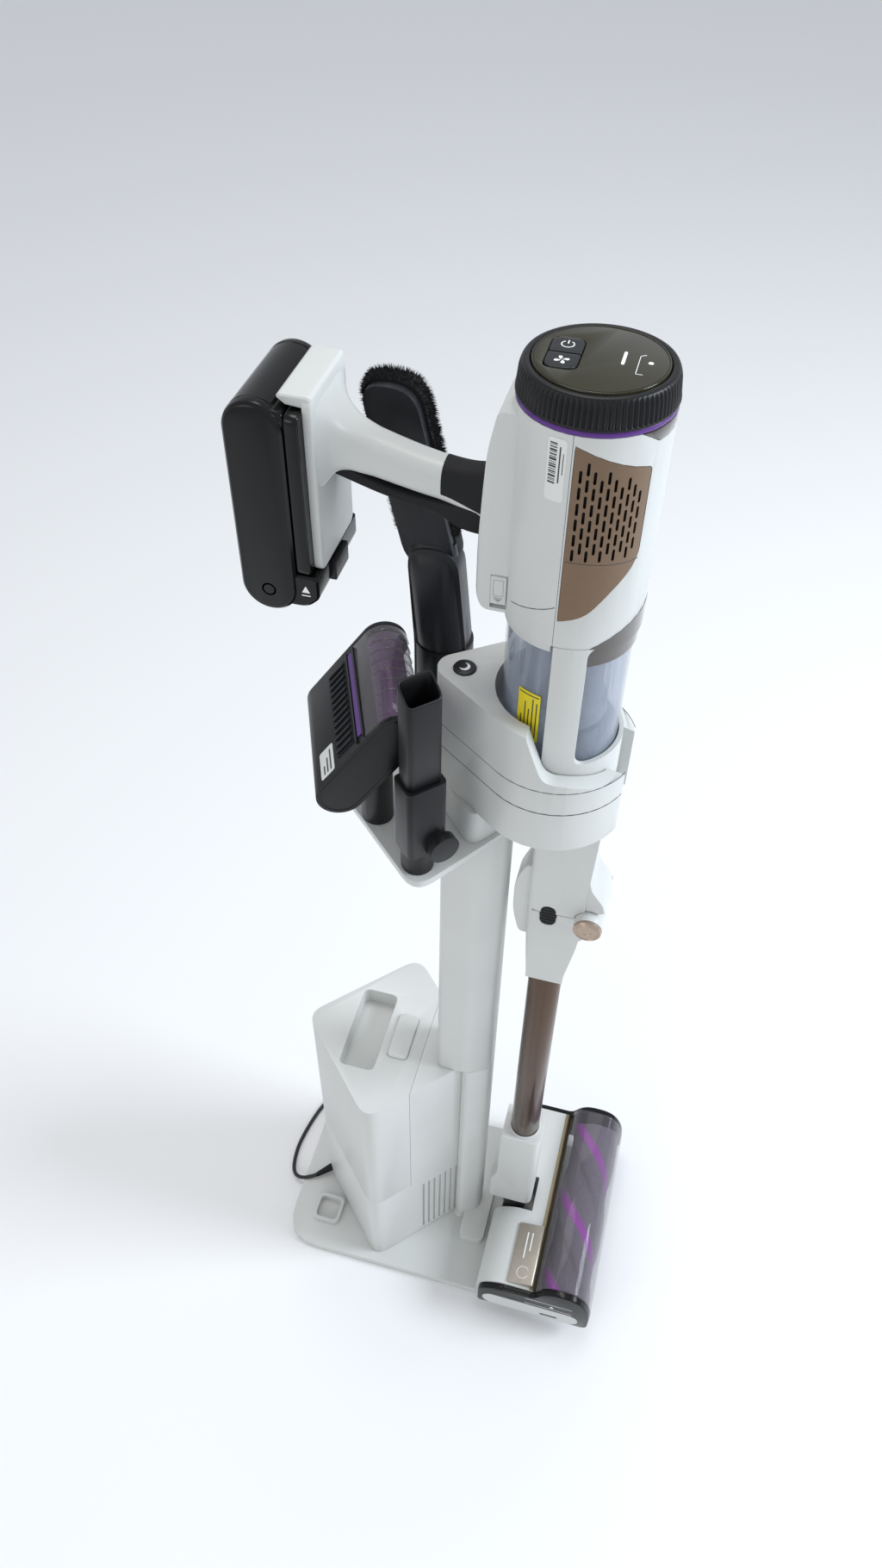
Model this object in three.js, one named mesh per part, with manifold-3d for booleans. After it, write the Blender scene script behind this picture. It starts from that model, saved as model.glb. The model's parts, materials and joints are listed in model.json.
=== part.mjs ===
// Cordless stick vacuum standing in its emptying dock.
// Millimetres, +Z up, front towards -Y. The origin is on the floor under the hand unit's upright axis.
import * as THREE from "three";
import { mergeVertices } from "three/addons/utils/BufferGeometryUtils.js";
import Module from "manifold-3d";

const wasm = await Module();
wasm.setup();

// ---------------------------------------------------------------- driving dimensions
const gap = 0.3; // between pieces that touch or slide
const wandLength = 338; // bare tube between the two sockets
const tower = { halfWidth: 107, front: 43, middle: 144, rear: 247, top: 395, wall: 3, corner: 20 };
const plate = {
  halfWidth: tower.halfWidth + 5, front: -120, rear: tower.rear + 22, corner: 45, thick: 12,
};
const bin = { front: 106, bottom: 165 };
const nozzle = { halfWidth: 129, rear: 7, split: -68, front: -138, bottom: 27, top: 83, coverTop: 108 };
const tubeRadius = 16.5;
const tubeY = -16;
const neckHalf = tubeRadius + 4.5;
const neckRear = tubeY + tubeRadius + 6.5;
const airway = 13; // radius of the air passage through necks and tube
const bodyRadius = 49.5;
const bodyWall = 2.6;
const bodyHeight = 158;
const cupInset = 3.5; // how far the cup's wall stands inside the body's
const cupRadius = bodyRadius - cupInset;
const cupWall = 2;
const cupHeight = 150;
const battery = { halfWidth: 45, front: 171, rear: 230, height: 162, thick: 42 };
const seatRadius = bodyRadius + 1.5;
const cradleRadius = seatRadius + 12;
const columnHalfWidth = 25;
const cordRadius = 2.5;

// ---------------------------------------------------------------- heights that follow from them
const zNeckBottom = 97;
const zNeckTop = 262;
const zTubeTop = zNeckTop + wandLength;
const zHinge = zTubeTop + 108;
const zCup = zHinge + 180;
const zCupFrame = zCup - 3;
const zBody = zCup + cupHeight;
const zBodyTop = zBody + bodyHeight;
const zDial = zBodyTop + 24;
const zTray = zHinge + 92;
const trayThick = 7;
const zToolFoot = zTray + trayThick + gap;
const zCradleFloor = zTray + 43;
const zCradleSeat = zCup - 8;
const zCradleTop = zCup + 72;
const hingeY = -50;
const hingeRadius = 13;

// ---------------------------------------------------------------- solids
function solid(geometry) {
  const source = geometry.index ? geometry : geometry.clone();
  source.deleteAttribute("normal");
  source.deleteAttribute("uv");
  const merged = mergeVertices(source, 1e-4);
  const corners = merged.index.array;
  const kept = [];
  for (let i = 0; i < corners.length; i += 3) {
    const [a, b, c] = corners.slice(i, i + 3);
    if (a !== b && b !== c && c !== a) kept.push(a, b, c);
  }
  return new wasm.Manifold(new wasm.Mesh({
    numProp: 3,
    vertProperties: new Float32Array(merged.attributes.position.array),
    triVerts: new Uint32Array(kept),
  }));
}

const join = (first, ...others) => others.reduce((all, next) => all.add(next), first);
const cut = (first, ...others) => others.reduce((rest, next) => rest.subtract(next), first);
const meet = (first, ...others) => others.reduce((rest, next) => rest.intersect(next), first);

// A closed outline with rounded corners; a corner is [u, v] or [u, v, radius].
function outline(corners, radius = 0) {
  const shape = new THREE.Shape();
  corners.forEach(([u, v, ownRadius = radius], i) => {
    const corner = new THREE.Vector2(u, v);
    const before = corners.at(i - 1);
    const after = corners[(i + 1) % corners.length];
    const towardsBefore = new THREE.Vector2(before[0], before[1]).sub(corner);
    const towardsAfter = new THREE.Vector2(after[0], after[1]).sub(corner);
    const reach = Math.min(ownRadius, towardsBefore.length() * 0.48, towardsAfter.length() * 0.48);
    const start = towardsBefore.setLength(reach).add(corner);
    const end = towardsAfter.setLength(reach).add(corner);
    if (i === 0) shape.moveTo(start.x, start.y);
    else shape.lineTo(start.x, start.y);
    if (reach > 0) shape.quadraticCurveTo(u, v, end.x, end.y);
  });
  shape.closePath();
  return shape;
}

const axes = {
  x: new THREE.Matrix4().makeBasis(
    new THREE.Vector3(0, 1, 0), new THREE.Vector3(0, 0, 1), new THREE.Vector3(1, 0, 0)),
  y: new THREE.Matrix4().makeBasis(
    new THREE.Vector3(1, 0, 0), new THREE.Vector3(0, 0, 1), new THREE.Vector3(0, -1, 0)),
  z: new THREE.Matrix4(),
};

// The outline pushed along one axis: along x it is drawn in (y, z), along y in (x, z), along z in (x, y).
function prism(axis, shape, from, to, curveSegments = 5) {
  const geometry = new THREE.ExtrudeGeometry(shape, {
    depth: to - from, bevelEnabled: false, curveSegments,
  });
  geometry.translate(0, 0, axis === "y" ? -to : from);
  return solid(geometry.applyMatrix4(axes[axis]));
}

function block([x0, x1], [y0, y1], [z0, z1]) {
  const geometry = new THREE.BoxGeometry(x1 - x0, y1 - y0, z1 - z0);
  return solid(geometry.translate((x0 + x1) / 2, (y0 + y1) / 2, (z0 + z1) / 2));
}

// All the space between two upright planes and two levels.
const allRound = (y0, y1, z0, z1) => block([-300, 300], [y0, y1], [z0, z1]);

// A round bar along one axis; centre holds the two other coordinates in x, y, z order.
function rod(axis, radius, [a, b], from, to, sides = 32) {
  const geometry = new THREE.CylinderGeometry(radius, radius, to - from, sides);
  geometry.translate(0, (from + to) / 2, 0);
  if (axis === "x") geometry.rotateZ(-Math.PI / 2).translate(0, a, b);
  if (axis === "y") geometry.translate(a, 0, 0).translate(0, 0, b);
  if (axis === "z") geometry.rotateX(Math.PI / 2).translate(a, b, 0);
  return solid(geometry);
}

// A turned solid about the upright line through (x, y); the profile runs in (radius, z).
function turned(profile, x = 0, y = 0, sides = 32) {
  const points = profile.map(([radius, z]) => new THREE.Vector2(radius, z));
  return solid(new THREE.LatheGeometry(points, sides).rotateX(Math.PI / 2).translate(x, y, 0));
}

// An upright round wall between two radii.
function ring(outer, inner, z0, z1, sides = 32) {
  return turned([[outer, z0], [outer, z1], [inner, z1], [inner, z0], [outer, z0]], 0, 0, sides);
}

const rounded = (x0, x1, y0, y1, radius) =>
  outline([[x0, y0], [x1, y0], [x1, y1], [x0, y1]], radius);

// A circle about the origin drawn out to a rounded tip at +v.
function teardrop(radius, tipRadius, tipCentre) {
  const spread = Math.acos((radius - tipRadius) / tipCentre);
  const right = Math.PI / 2 - spread;
  const left = Math.PI / 2 + spread;
  const shape = new THREE.Shape();
  shape.absarc(0, tipCentre, tipRadius, right, left, false);
  shape.absarc(0, 0, radius, left, right + 2 * Math.PI, false);
  shape.closePath();
  return shape;
}

// A bar with round ends between two points of its plane.
function capsule([u0, v0], [u1, v1], radius) {
  const angle = Math.atan2(v1 - v0, u1 - u0);
  const shape = new THREE.Shape();
  shape.absarc(u1, v1, radius, angle - Math.PI / 2, angle + Math.PI / 2, false);
  shape.absarc(u0, v0, radius, angle + Math.PI / 2, angle + 1.5 * Math.PI, false);
  shape.closePath();
  return shape;
}

// ---------------------------------------------------------------- materials
const finish = (color, roughness, metalness = 0) =>
  new THREE.MeshStandardMaterial({ color, roughness, metalness });
const white = finish("#c8cecc", 0.38);
const black = finish("#18191b", 0.45);
const satinBlack = finish("#2d3037", 0.35);
const bronze = finish("#7d6250", 0.3, 0.8);
const tubeBronze = finish("#5a483e", 0.22, 0.9);
const brushed = finish("#967d6e", 0.3, 0.95);
const purple = finish("#5a2878", 0.4);
const glossBlack = finish("#1a1914", 0.08);
const smoky = finish("#504b50", 0.1);
const clear = finish("#cfd4d4", 0.05);
const rubber = finish("#141416", 0.7);
const steel = finish("#8d9094", 0.3, 0.9);
const tan = finish("#a0968c", 0.35, 0.6);

const assembly = new THREE.Group();
const groups = {};
for (const name of ["dock", "hand_unit", "wand", "nozzle", "pet_tool", "crevice", "duster"]) {
  groups[name] = new THREE.Group();
  assembly.add(groups[name]);
}

function place(group, name, body, material) {
  const { vertProperties, triVerts } = body.getMesh();
  const geometry = new THREE.BufferGeometry();
  geometry.setAttribute("position", new THREE.BufferAttribute(new Float32Array(vertProperties), 3));
  geometry.setIndex(new THREE.BufferAttribute(new Uint32Array(triVerts), 1));
  const mesh = new THREE.Mesh(geometry, material);
  mesh.name = name;
  groups[group].add(mesh);
}

// ---------------------------------------------------------------- dock: base, tower and bin
const pocket = { x: 44 - tower.halfWidth, y: tower.rear - 24, half: 18, wall: 4, top: 19, floor: 8 };
const stopBlock = { halfWidth: 55, front: 14, rear: 46, top: 25 };

function basePlate() {
  const { halfWidth, front, rear, corner, thick } = plate;
  const slab = prism("z", rounded(-halfWidth, halfWidth, front, rear, corner), 0, thick);
  const { x, y, half, wall, top, floor } = pocket;
  const boss = prism("z", rounded(x - half, x + half, y - half, y + half, 8), 0, top);
  const hollow = half - wall;
  const well = prism("z", rounded(x - hollow, x + hollow, y - hollow, y + hollow, 6), floor, top + 1);
  const stop = prism("z", rounded(-stopBlock.halfWidth, stopBlock.halfWidth, stopBlock.front,
    stopBlock.rear, 8), thick - 1, stopBlock.top);
  return cut(join(slab, boss, stop), well);
}

function towerOutline(inset = 0) {
  const { halfWidth, front, middle, rear, corner } = tower;
  const side = inset * Math.SQRT2;
  return outline([
    [0, front + side], [halfWidth - side, middle], [0, rear - side], [-halfWidth + side, middle],
  ], corner);
}

const duct = { radius: 11, y: 62, outletZ: tower.top - 35 };
const suction = { y: 144, radius: 42, bottom: 30, height: 95 };
const vent = { count: 8, pitch: 8, width: 3, depth: 2.4, first: 18, top: 140 };

function ventGrooves() {
  const slope = Math.atan2(tower.middle - tower.front, tower.halfWidth);
  const grooves = [];
  for (const side of [-1, 1]) {
    for (let i = 0; i < vent.count; i += 1) {
      const along = vent.first + i * vent.pitch;
      const x = side * along * Math.cos(slope);
      const y = tower.front + along * Math.sin(slope);
      const geometry = new THREE.BoxGeometry(vent.width, 2 * vent.depth, vent.top - plate.thick);
      geometry.rotateZ(side * slope).translate(x, y, (vent.top + plate.thick) / 2 + 8);
      grooves.push(solid(geometry));
    }
  }
  return grooves;
}

function towerHousing() {
  const full = prism("z", towerOutline(), plate.thick + gap, tower.top);
  const binSpace = block([-200, 200], [bin.front, 300], [bin.bottom, tower.top + 1]);
  const cavityTop = suction.bottom + suction.height;
  const cavity = rod("z", suction.radius + gap, [0, suction.y], suction.bottom - gap, cavityTop + gap);
  const port = rod("z", 14, [0, suction.y], cavityTop - 1, bin.bottom + 1, 24);
  const down = rod("z", duct.radius, [0, duct.y], duct.outletZ - 6, tower.top + 1, 20);
  const across = rod("y", duct.radius, [0, duct.outletZ - 2], duct.y, bin.front + 1, 20);
  return cut(full, binSpace, cavity, port, down, across, ...ventGrooves());
}

const recess = { halfWidth: 50, front: 153, rear: 193, depth: 24, wall: 3 };
const release = { halfWidth: 28, front: 121, rear: 144, rise: 3, depth: 9, travel: 3 };

function dustBin() {
  const behindSeam = block([-200, 200], [bin.front + gap, 300], [0, 1000]);
  const floor = bin.bottom + gap;
  const shell = meet(prism("z", towerOutline(), floor, tower.top), behindSeam);
  const inside = meet(
    prism("z", towerOutline(tower.wall), floor + tower.wall, tower.top - tower.wall),
    block([-200, 200], [bin.front + gap + tower.wall, 300], [0, 1000]));
  const inlet = rod("y", duct.radius, [0, duct.outletZ - 2], bin.front - 1, bin.front + 6, 20);
  const outlet = rod("z", 14, [0, suction.y], bin.bottom - 1, bin.bottom + 6, 24);
  const { halfWidth, front, rear, depth, wall } = recess;
  const tub = prism("z", rounded(-halfWidth - wall, halfWidth + wall, front - wall, rear + wall, 10),
    tower.top - depth - wall, tower.top);
  const grip = prism("z", rounded(-halfWidth, halfWidth, front, rear, 8), tower.top - depth,
    tower.top + 1);
  const seatBottom = tower.top - release.depth - release.travel;
  const seat = block([-release.halfWidth - 3, release.halfWidth + 3],
    [release.front - 3, release.rear + 3], [seatBottom - 3, tower.top]);
  const well = prism("z", rounded(-release.halfWidth - gap, release.halfWidth + gap,
    release.front - gap, release.rear + gap, 6), seatBottom, tower.top + 1);
  return cut(join(cut(shell, inside), meet(join(tub, seat), shell)), grip, well, inlet, outlet);
}

function binRelease() {
  const { halfWidth, front, rear, rise, depth } = release;
  return prism("z", rounded(-halfWidth, halfWidth, front, rear, 6), tower.top - depth,
    tower.top + rise);
}

function suctionMotor() {
  const { radius, bottom, height, y } = suction;
  return turned([[0, bottom], [radius, bottom], [radius, bottom + height * 0.7],
    [radius * 0.6, bottom + height], [0, bottom + height]], 0, y, 24);
}

const column = { front: 28, shoulder: 52, rear: 88 };

function dockColumn() {
  const { front, shoulder, rear } = column;
  const shape = outline([[-12, front], [12, front], [columnHalfWidth, shoulder], [columnHalfWidth, rear],
    [-columnHalfWidth, rear], [-columnHalfWidth, shoulder]], 10);
  const shaft = prism("z", shape, tower.top + gap, zTray - gap);
  return cut(shaft, rod("z", duct.radius, [0, duct.y], tower.top - 1, zTray + 1, 20));
}

// ---------------------------------------------------------------- dock: tray, cradle
const peg = { radius: 9.5, height: 14 };
const petPeg = [-31, cradleRadius + 77];
const crevicePeg = [-cradleRadius - 11, 93];
const dusterPeg = [60, cradleRadius + 45];

function accessoryTray() {
  const half = cradleRadius + 38;
  const shape = outline([[0, 16], [half, 88], [0, cradleRadius + 130], [-half, 88]], 20);
  const slab = prism("z", shape, zTray, zTray + trayThick);
  const pegs = [petPeg, crevicePeg, dusterPeg].map((centre) =>
    rod("z", peg.radius, centre, zTray, zTray + trayThick + peg.height, 20));
  return cut(join(slab, ...pegs), rod("z", duct.radius, [0, duct.y], zTray - 1, zToolFoot, 20));
}

const tip = { radius: 15, centre: cradleRadius + 19 };
const neckSlot = neckHalf + 3.5; // half width of the opening that the neck drops through
const chute = { radius: bodyRadius - 1.5, front: neckRear + 2, floor: 5 };
const nightButton = { radius: 9, y: cradleRadius + 13, rise: 1.5, depth: 4, travel: 1 };

function cradle() {
  const pedestal = prism("z", outline([[0, 20, 14], [48, 56, 16], [0, 97, 16], [-48, 56, 16]]),
    zToolFoot, zCradleFloor + 1);
  const bowl = prism("z", teardrop(cradleRadius, tip.radius, tip.centre), zCradleFloor, zCradleTop, 14);
  const sweep = prism("x", outline([[-80, zCup + 10], [-20, zCup + 28, 20], [0, zCup + 30, 16],
    [16, zCradleTop + 1, 8], [16, zCradleTop + 20], [-80, zCradleTop + 20]]), -100, 100);
  const seat = rod("z", seatRadius, [0, 0], zCradleSeat, zCradleTop + 1, 40);
  const slot = block([-neckSlot, neckSlot], [-100, neckRear + 3], [zTray, zCradleTop + 1]);
  const drop = meet(allRound(chute.front, 100, zCradleFloor + chute.floor, zCradleSeat + 1),
    rod("z", chute.radius, [0, 0], 0, 2000, 40));
  const down = rod("z", duct.radius, [0, duct.y], zTray, zCradleFloor + 14, 20);
  const across = rod("y", duct.radius, [0, zCradleFloor + 12], 40, duct.y, 20);
  const well = rod("z", nightButton.radius + gap, [0, nightButton.y],
    zCradleTop - nightButton.depth - nightButton.travel, zCradleTop + 1);
  return cut(join(pedestal, bowl), sweep, seat, slot, drop, down, across, well);
}

function nightLightButton() {
  const { radius, y, rise, depth } = nightButton;
  return rod("z", radius, [0, y], zCradleTop - depth, zCradleTop + rise, 24);
}

// ---------------------------------------------------------------- mains cord
const relief = { start: [-9, 236, 22.5], lean: [-0.63, 0.75, -0.2], length: 24, thin: 3.2, wide: 5.4 };
const cordRoute = [
  [-24.4, 254.3, 17.6], [-29.6, 261.1, 15.8], [-33.6, 268.6, 15.2], [-34.6, 277, 11.5], [-31.5, 285, 6],
  [-22, 291.5, 3.1], [-4, 295, 2.8], [24, 295, 2.8], [56, 290, 2.8], [86, 281, 2.8], [110, 266, 2.8],
  [123, 246, 2.8], [127.5, 223, 2.8], [125.8, 196, 2.8],
];
const coil = { x: 158, y: 176, middle: 30, across: 10, height: 20 };

function cordLead() {
  const path = new THREE.CatmullRomCurve3(cordRoute.map((point) => new THREE.Vector3(...point)));
  const section = new THREE.Shape();
  section.absarc(0, 0, cordRadius, 0, 2 * Math.PI, false);
  const geometry = new THREE.ExtrudeGeometry(section, {
    extrudePath: path, steps: 28, bevelEnabled: false, curveSegments: 4,
  });
  return solid(geometry);
}

function cordCoil() {
  const inner = coil.middle - coil.across / 2;
  const outer = coil.middle + coil.across / 2;
  return turned([[outer, 0], [outer, coil.height], [inner, coil.height], [inner, 0], [outer, 0]],
    coil.x, coil.y, 28);
}

function strainRelief() {
  const { start, lean, length, thin, wide } = relief;
  const sunk = 6;
  const geometry = new THREE.CylinderGeometry(thin, wide, length + sunk, 16);
  geometry.translate(0, (length - sunk) / 2, 0);
  const direction = new THREE.Vector3(...lean).normalize();
  const turn = new THREE.Quaternion().setFromUnitVectors(new THREE.Vector3(0, 1, 0), direction);
  geometry.applyQuaternion(turn).translate(...start);
  return cut(solid(geometry), prism("z", towerOutline(-gap), 0, tower.top));
}

const plug = {
  y: 206, halfWidth: 13, length: 34, height: 22, nose: 12, noseHalf: 4.5, blade: 16, spread: 6.35,
};

// The plug lies beside the coil, its nose against the outermost turn where the lead leaves it.
function cordPlug() {
  const { y, halfWidth, length, height, nose, noseHalf, blade, spread } = plug;
  const outside = coil.middle + coil.across / 2;
  const x = coil.x + outside - cordRadius;
  const body = prism("z", rounded(x - halfWidth, x + halfWidth, y, y + length, 7), 0, height);
  const entry = rod("y", noseHalf, [x, height / 2], y - nose, y + 1, 16);
  const blades = [-1, 1].map((side) =>
    block([x + side * spread - 0.8, x + side * spread + 0.8], [y + length - 1, y + length + blade],
      [height / 2 - 3.2, height / 2 + 3.2]));
  const clearOfCoil = rod("z", outside + gap, [coil.x, coil.y], -1, height + 1, 48);
  return cut(join(body, entry, ...blades), clearOfCoil);
}

function buildDock() {
  place("dock", "base_plate", basePlate(), white);
  place("dock", "tower_housing", towerHousing(), white);
  place("dock", "dust_bin", dustBin(), white);
  place("dock", "bin_release_button", binRelease(), white);
  place("dock", "suction_motor", suctionMotor(), steel);
  place("dock", "dock_column", dockColumn(), white);
  place("dock", "accessory_tray", accessoryTray(), white);
  place("dock", "cradle", cradle(), white);
  place("dock", "night_button", nightLightButton(), satinBlack);
  place("dock", "cord_strain_relief", strainRelief(), rubber);
  place("dock", "cord_lead", cordLead(), black);
  place("dock", "cord_coil", cordCoil(), black);
  place("dock", "cord_plug", cordPlug(), black);
}

// ---------------------------------------------------------------- hand unit: motor housing
const seamY = 5;
const spine = { halfWidth: 25, bottom: zBody + 2, top: zBodyTop - 6 };
const outsideBody = bodyRadius + 10.5; // clear of everything that is round the body's axis
const deckThick = 5;
const displayRadius = bodyRadius - 8.1;
const bossRadius = displayRadius - 3.4;
const displayThick = 12;

function shellBand(z0, z1) {
  return ring(bodyRadius, bodyRadius - bodyWall, z0, z1, 36);
}

function housingRear() {
  const rearHalf = meet(shellBand(zBody + gap, zBodyTop), allRound(seamY, 200, 0, 2000));
  const { halfWidth, bottom, top } = spine;
  const back0 = bodyRadius - 9.5;
  const back1 = bodyRadius + 16.5;
  const side = outline([[back0, bottom], [back1 - 6, bottom, 6], [back1, bottom + 12, 6],
    [back1, bottom + 40, 20], [back1 - 5, top - 28, 20], [back1 - 11, top, 4], [back0, top]]);
  const back = cut(
    meet(prism("x", side, -halfWidth, halfWidth),
      prism("z", rounded(-halfWidth, halfWidth, 0, back1, 9), bottom, top)),
    rod("z", bodyRadius - bodyWall, [0, 0], bottom - 1, top + 1, 36));
  const deck = rod("z", bodyRadius - bodyWall + 0.5, [0, 0], zBodyTop - deckThick, zBodyTop, 36);
  const deckRear = meet(deck, allRound(seamY - 70, 200, 0, 2000));
  const boss = rod("z", bossRadius, [0, 0], zBodyTop - 1, zDial - displayThick - gap, 40);
  const frontRim = meet(deckRear, rod("z", bodyRadius - bodyWall - gap, [0, 0], 0, 2000, 36));
  const deckBody = join(meet(deckRear, allRound(seamY, 200, 0, 2000)), frontRim);
  const sliderWell = block([-halfWidth - 3, -halfWidth + slider.depth + gap],
    [slider.front - gap, slider.rear + gap],
    [slider.bottom - slider.travel - gap, slider.top + gap]);
  const handleRoom = handleSocket(gap);
  return cut(join(rearHalf, back, deckBody, boss), sliderWell, handleRoom);
}

const panel = { rear: 3.5, front: -41, rearTop: -6, frontTop: -24, rearBottom: 22, frontBottom: 64 };

function panelOutline(inset) {
  return outline([
    [panel.rear - inset, zBodyTop + panel.rearTop - inset],
    [panel.front + inset, zBodyTop + panel.frontTop - inset],
    [panel.front + inset, zBody + panel.frontBottom + inset, 12],
    [panel.rear - 18, zBody + panel.rearBottom + 6 + inset, 16],
    [panel.rear - inset, zBody + panel.rearBottom + inset],
  ], 3);
}

const sensor = { halfTop: 38, halfBottom: 25, drop: 9 };

function sensorOutline(inset) {
  const { halfTop, halfBottom, drop } = sensor;
  return outline([[-halfTop + inset, zBodyTop + 1], [-halfBottom + inset, zBodyTop - drop + inset],
    [halfBottom - inset, zBodyTop - drop + inset], [halfTop - inset, zBodyTop + 1]], 1.5);
}

function housingFront() {
  const frontHalf = meet(shellBand(zBody + gap, zBodyTop), allRound(-200, seamY - gap, 0, 2000));
  const sides = [-1, 1].map((side) =>
    prism("x", panelOutline(0), side < 0 ? -outsideBody : 15, side < 0 ? -15 : outsideBody, 6));
  const window = prism("y", sensorOutline(0), -outsideBody, -20);
  return cut(frontHalf, ...sides, window);
}

const slots = { columns: 5, rows: 5, pitch: 8, rise: 15, width: 2, length: 9, floor: 76 };

function exhaustGrille(side) {
  const [x0, x1] = side < 0 ? [-outsideBody, -15] : [15, outsideBody];
  const skin = meet(shellBand(zBody + gap, zBodyTop), prism("x", panelOutline(gap), x0, x1, 6));
  const holes = [];
  for (let column = 0; column < slots.columns; column += 1) {
    const y = panel.rear - 4 - column * slots.pitch;
    const top = zBodyTop + panel.rearTop - 6 + (panel.frontTop - panel.rearTop) * (column / slots.columns);
    for (let row = 0; row < slots.rows; row += 1) {
      const z = zBody + slots.floor + row * slots.rise + (column % 2) * slots.rise * 0.5;
      if (z + slots.length / 2 < top) {
        holes.push(block([x0, x1], [y - slots.width / 2, y + slots.width / 2],
          [z - slots.length / 2, z + slots.length / 2]));
      }
    }
  }
  return cut(skin, ...holes);
}

function sensorWindow() {
  return meet(shellBand(zBody, zBodyTop - gap), prism("y", sensorOutline(gap), -outsideBody, -20));
}

function accentRing() {
  return ring(bodyRadius, bossRadius + gap, zBodyTop + gap, zBodyTop + 3.5, 36);
}

function dialRing() {
  const z0 = zBodyTop + 3.5 + gap;
  const z1 = zDial - 0.8;
  const inner = displayRadius + 0.5;
  const foot = bodyRadius + 0.5;
  return turned([[foot, z0], [foot - 3, z1], [inner, z1], [inner, z0], [foot, z0]], 0, 0, 40);
}

const key = { outer: 19, half: 0.6, front: 12, rear: 32, rise: 0.7, depth: 3.6, travel: 1.2 };

function displayPanel() {
  const disc = rod("z", displayRadius, [0, 0], zDial - displayThick, zDial, 40);
  const well = prism("z", rounded(-key.outer - gap, key.outer + gap, key.front - gap, key.rear + gap, 6),
    zDial - key.depth - key.travel - gap, zDial + 1);
  return cut(disc, well);
}

function displayKey(side) {
  const [x0, x1] = side < 0 ? [-key.outer, -key.half] : [key.half, key.outer];
  return prism("z", rounded(x0, x1, key.front, key.rear, 5), zDial - key.depth, zDial + key.rise);
}

const motorSize = { radius: 30, bottom: 22, height: 72, flange: 3, shaft: 2.5 };

function fanMotor() {
  const base = zBody + motorSize.bottom;
  const top = base + motorSize.height;
  const body = turned([[0, base], [motorSize.radius, base], [motorSize.radius, top - 8],
    [motorSize.radius - 8, top], [0, top]], 0, 0, 24);
  const flange = rod("z", bodyRadius - bodyWall - gap, [0, 0], base + 8, base + 8 + motorSize.flange, 36);
  const bore = rod("z", motorSize.shaft + gap, [0, 0], top - 20, top + 1, 16);
  return cut(join(body, flange), bore);
}

function impeller() {
  const motorTop = zBody + motorSize.bottom + motorSize.height;
  const hub = turned([[0, motorTop - 18], [motorSize.shaft, motorTop - 18],
    [motorSize.shaft, motorTop + 1], [28, motorTop + 1], [28, motorTop + 3], [9, motorTop + 5],
    [5, motorTop + 16], [0, motorTop + 16]], 0, 0, 24);
  const blades = [];
  for (let i = 0; i < 9; i += 1) {
    const geometry = new THREE.BoxGeometry(21, 1.4, 12);
    geometry.rotateZ(0.35).translate(16, 0, motorTop + 8).rotateZ((i / 9) * 2 * Math.PI);
    blades.push(solid(geometry));
  }
  return join(hub, ...blades);
}

// ---------------------------------------------------------------- hand unit: cup
const doorFront = neckRear + 2.6;
const cupFloorRear = neckRear + 1;
const doorThick = 2.7;
const slider = {
  front: bodyRadius - 6.5, rear: bodyRadius + 4.5, bottom: zBody + 9, top: zBody + 32,
  depth: 4, rise: 1.2, travel: 4,
};

const intake = () => rod("z", airway, [0, tubeY], zCupFrame - 40, zCup + 10, 28);

function dustCup() {
  const wall = ring(cupRadius, cupRadius - cupWall, zCup, zBody, 36);
  const floor = meet(rod("z", cupRadius - 0.5, [0, 0], zCup, zCup + cupWall, 36),
    allRound(-200, cupFloorRear, 0, 2000));
  return cut(join(wall, floor), intake());
}

function cycloneScreen() {
  const top = zBody - gap;
  return turned([[26, zCup + 52], [33, zCup + 58], [33, top], [31, top], [31, zCup + 60], [24, zCup + 55],
    [26, zCup + 52]], 0, 0, 32);
}

function cupDoor() {
  const z0 = zCupFrame - 0.5;
  return meet(rod("z", cupRadius - 0.4, [0, 0], z0, z0 + doorThick, 36),
    allRound(doorFront, 200, 0, 2000));
}

const strip = { front: -16, rear: 4 };

function cupFrame() {
  const inner = cupRadius + gap;
  const hoop = ring(bodyRadius + 0.4, inner, zCupFrame, zCup + 17, 36);
  const floor = meet(rod("z", inner + 0.5, [0, 0], zCupFrame, zCup - gap, 36),
    allRound(-200, cupFloorRear, 0, 2000));
  const strips = [-1, 1].map((side) => meet(
    ring(bodyRadius + 0.4, inner, zCup + 5, zBody, 36),
    block(side < 0 ? [-outsideBody, 0] : [0, outsideBody], [strip.front, strip.rear], [0, 2000])));
  return cut(join(hoop, floor, ...strips), intake());
}

function cupSlider() {
  const x0 = -spine.halfWidth - slider.rise;
  return block([x0, -spine.halfWidth + slider.depth], [slider.front, slider.rear],
    [slider.bottom, slider.top]);
}

// ---------------------------------------------------------------- hand unit: upper neck and hinge
const neck = { half: neckHalf, rear: neckRear, front: -45, knuckleHalf: neckHalf - 1 };
const earOuter = 29;
const earInner = 12.4;
const latch = { half: 12, rear: neckRear + 14, below: 49, above: 49, depth: 3, travel: 3 };
const windowRadius = 8;

const barrel = (radius, from, to) => rod("x", radius, [hingeY, zHinge], from, to, 28);

function latchWell() {
  return block([-latch.half - gap, latch.half + gap],
    [neck.rear - latch.depth - latch.travel, neck.rear + 1],
    [zHinge - latch.below - gap, zHinge + latch.above + gap]);
}

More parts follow.
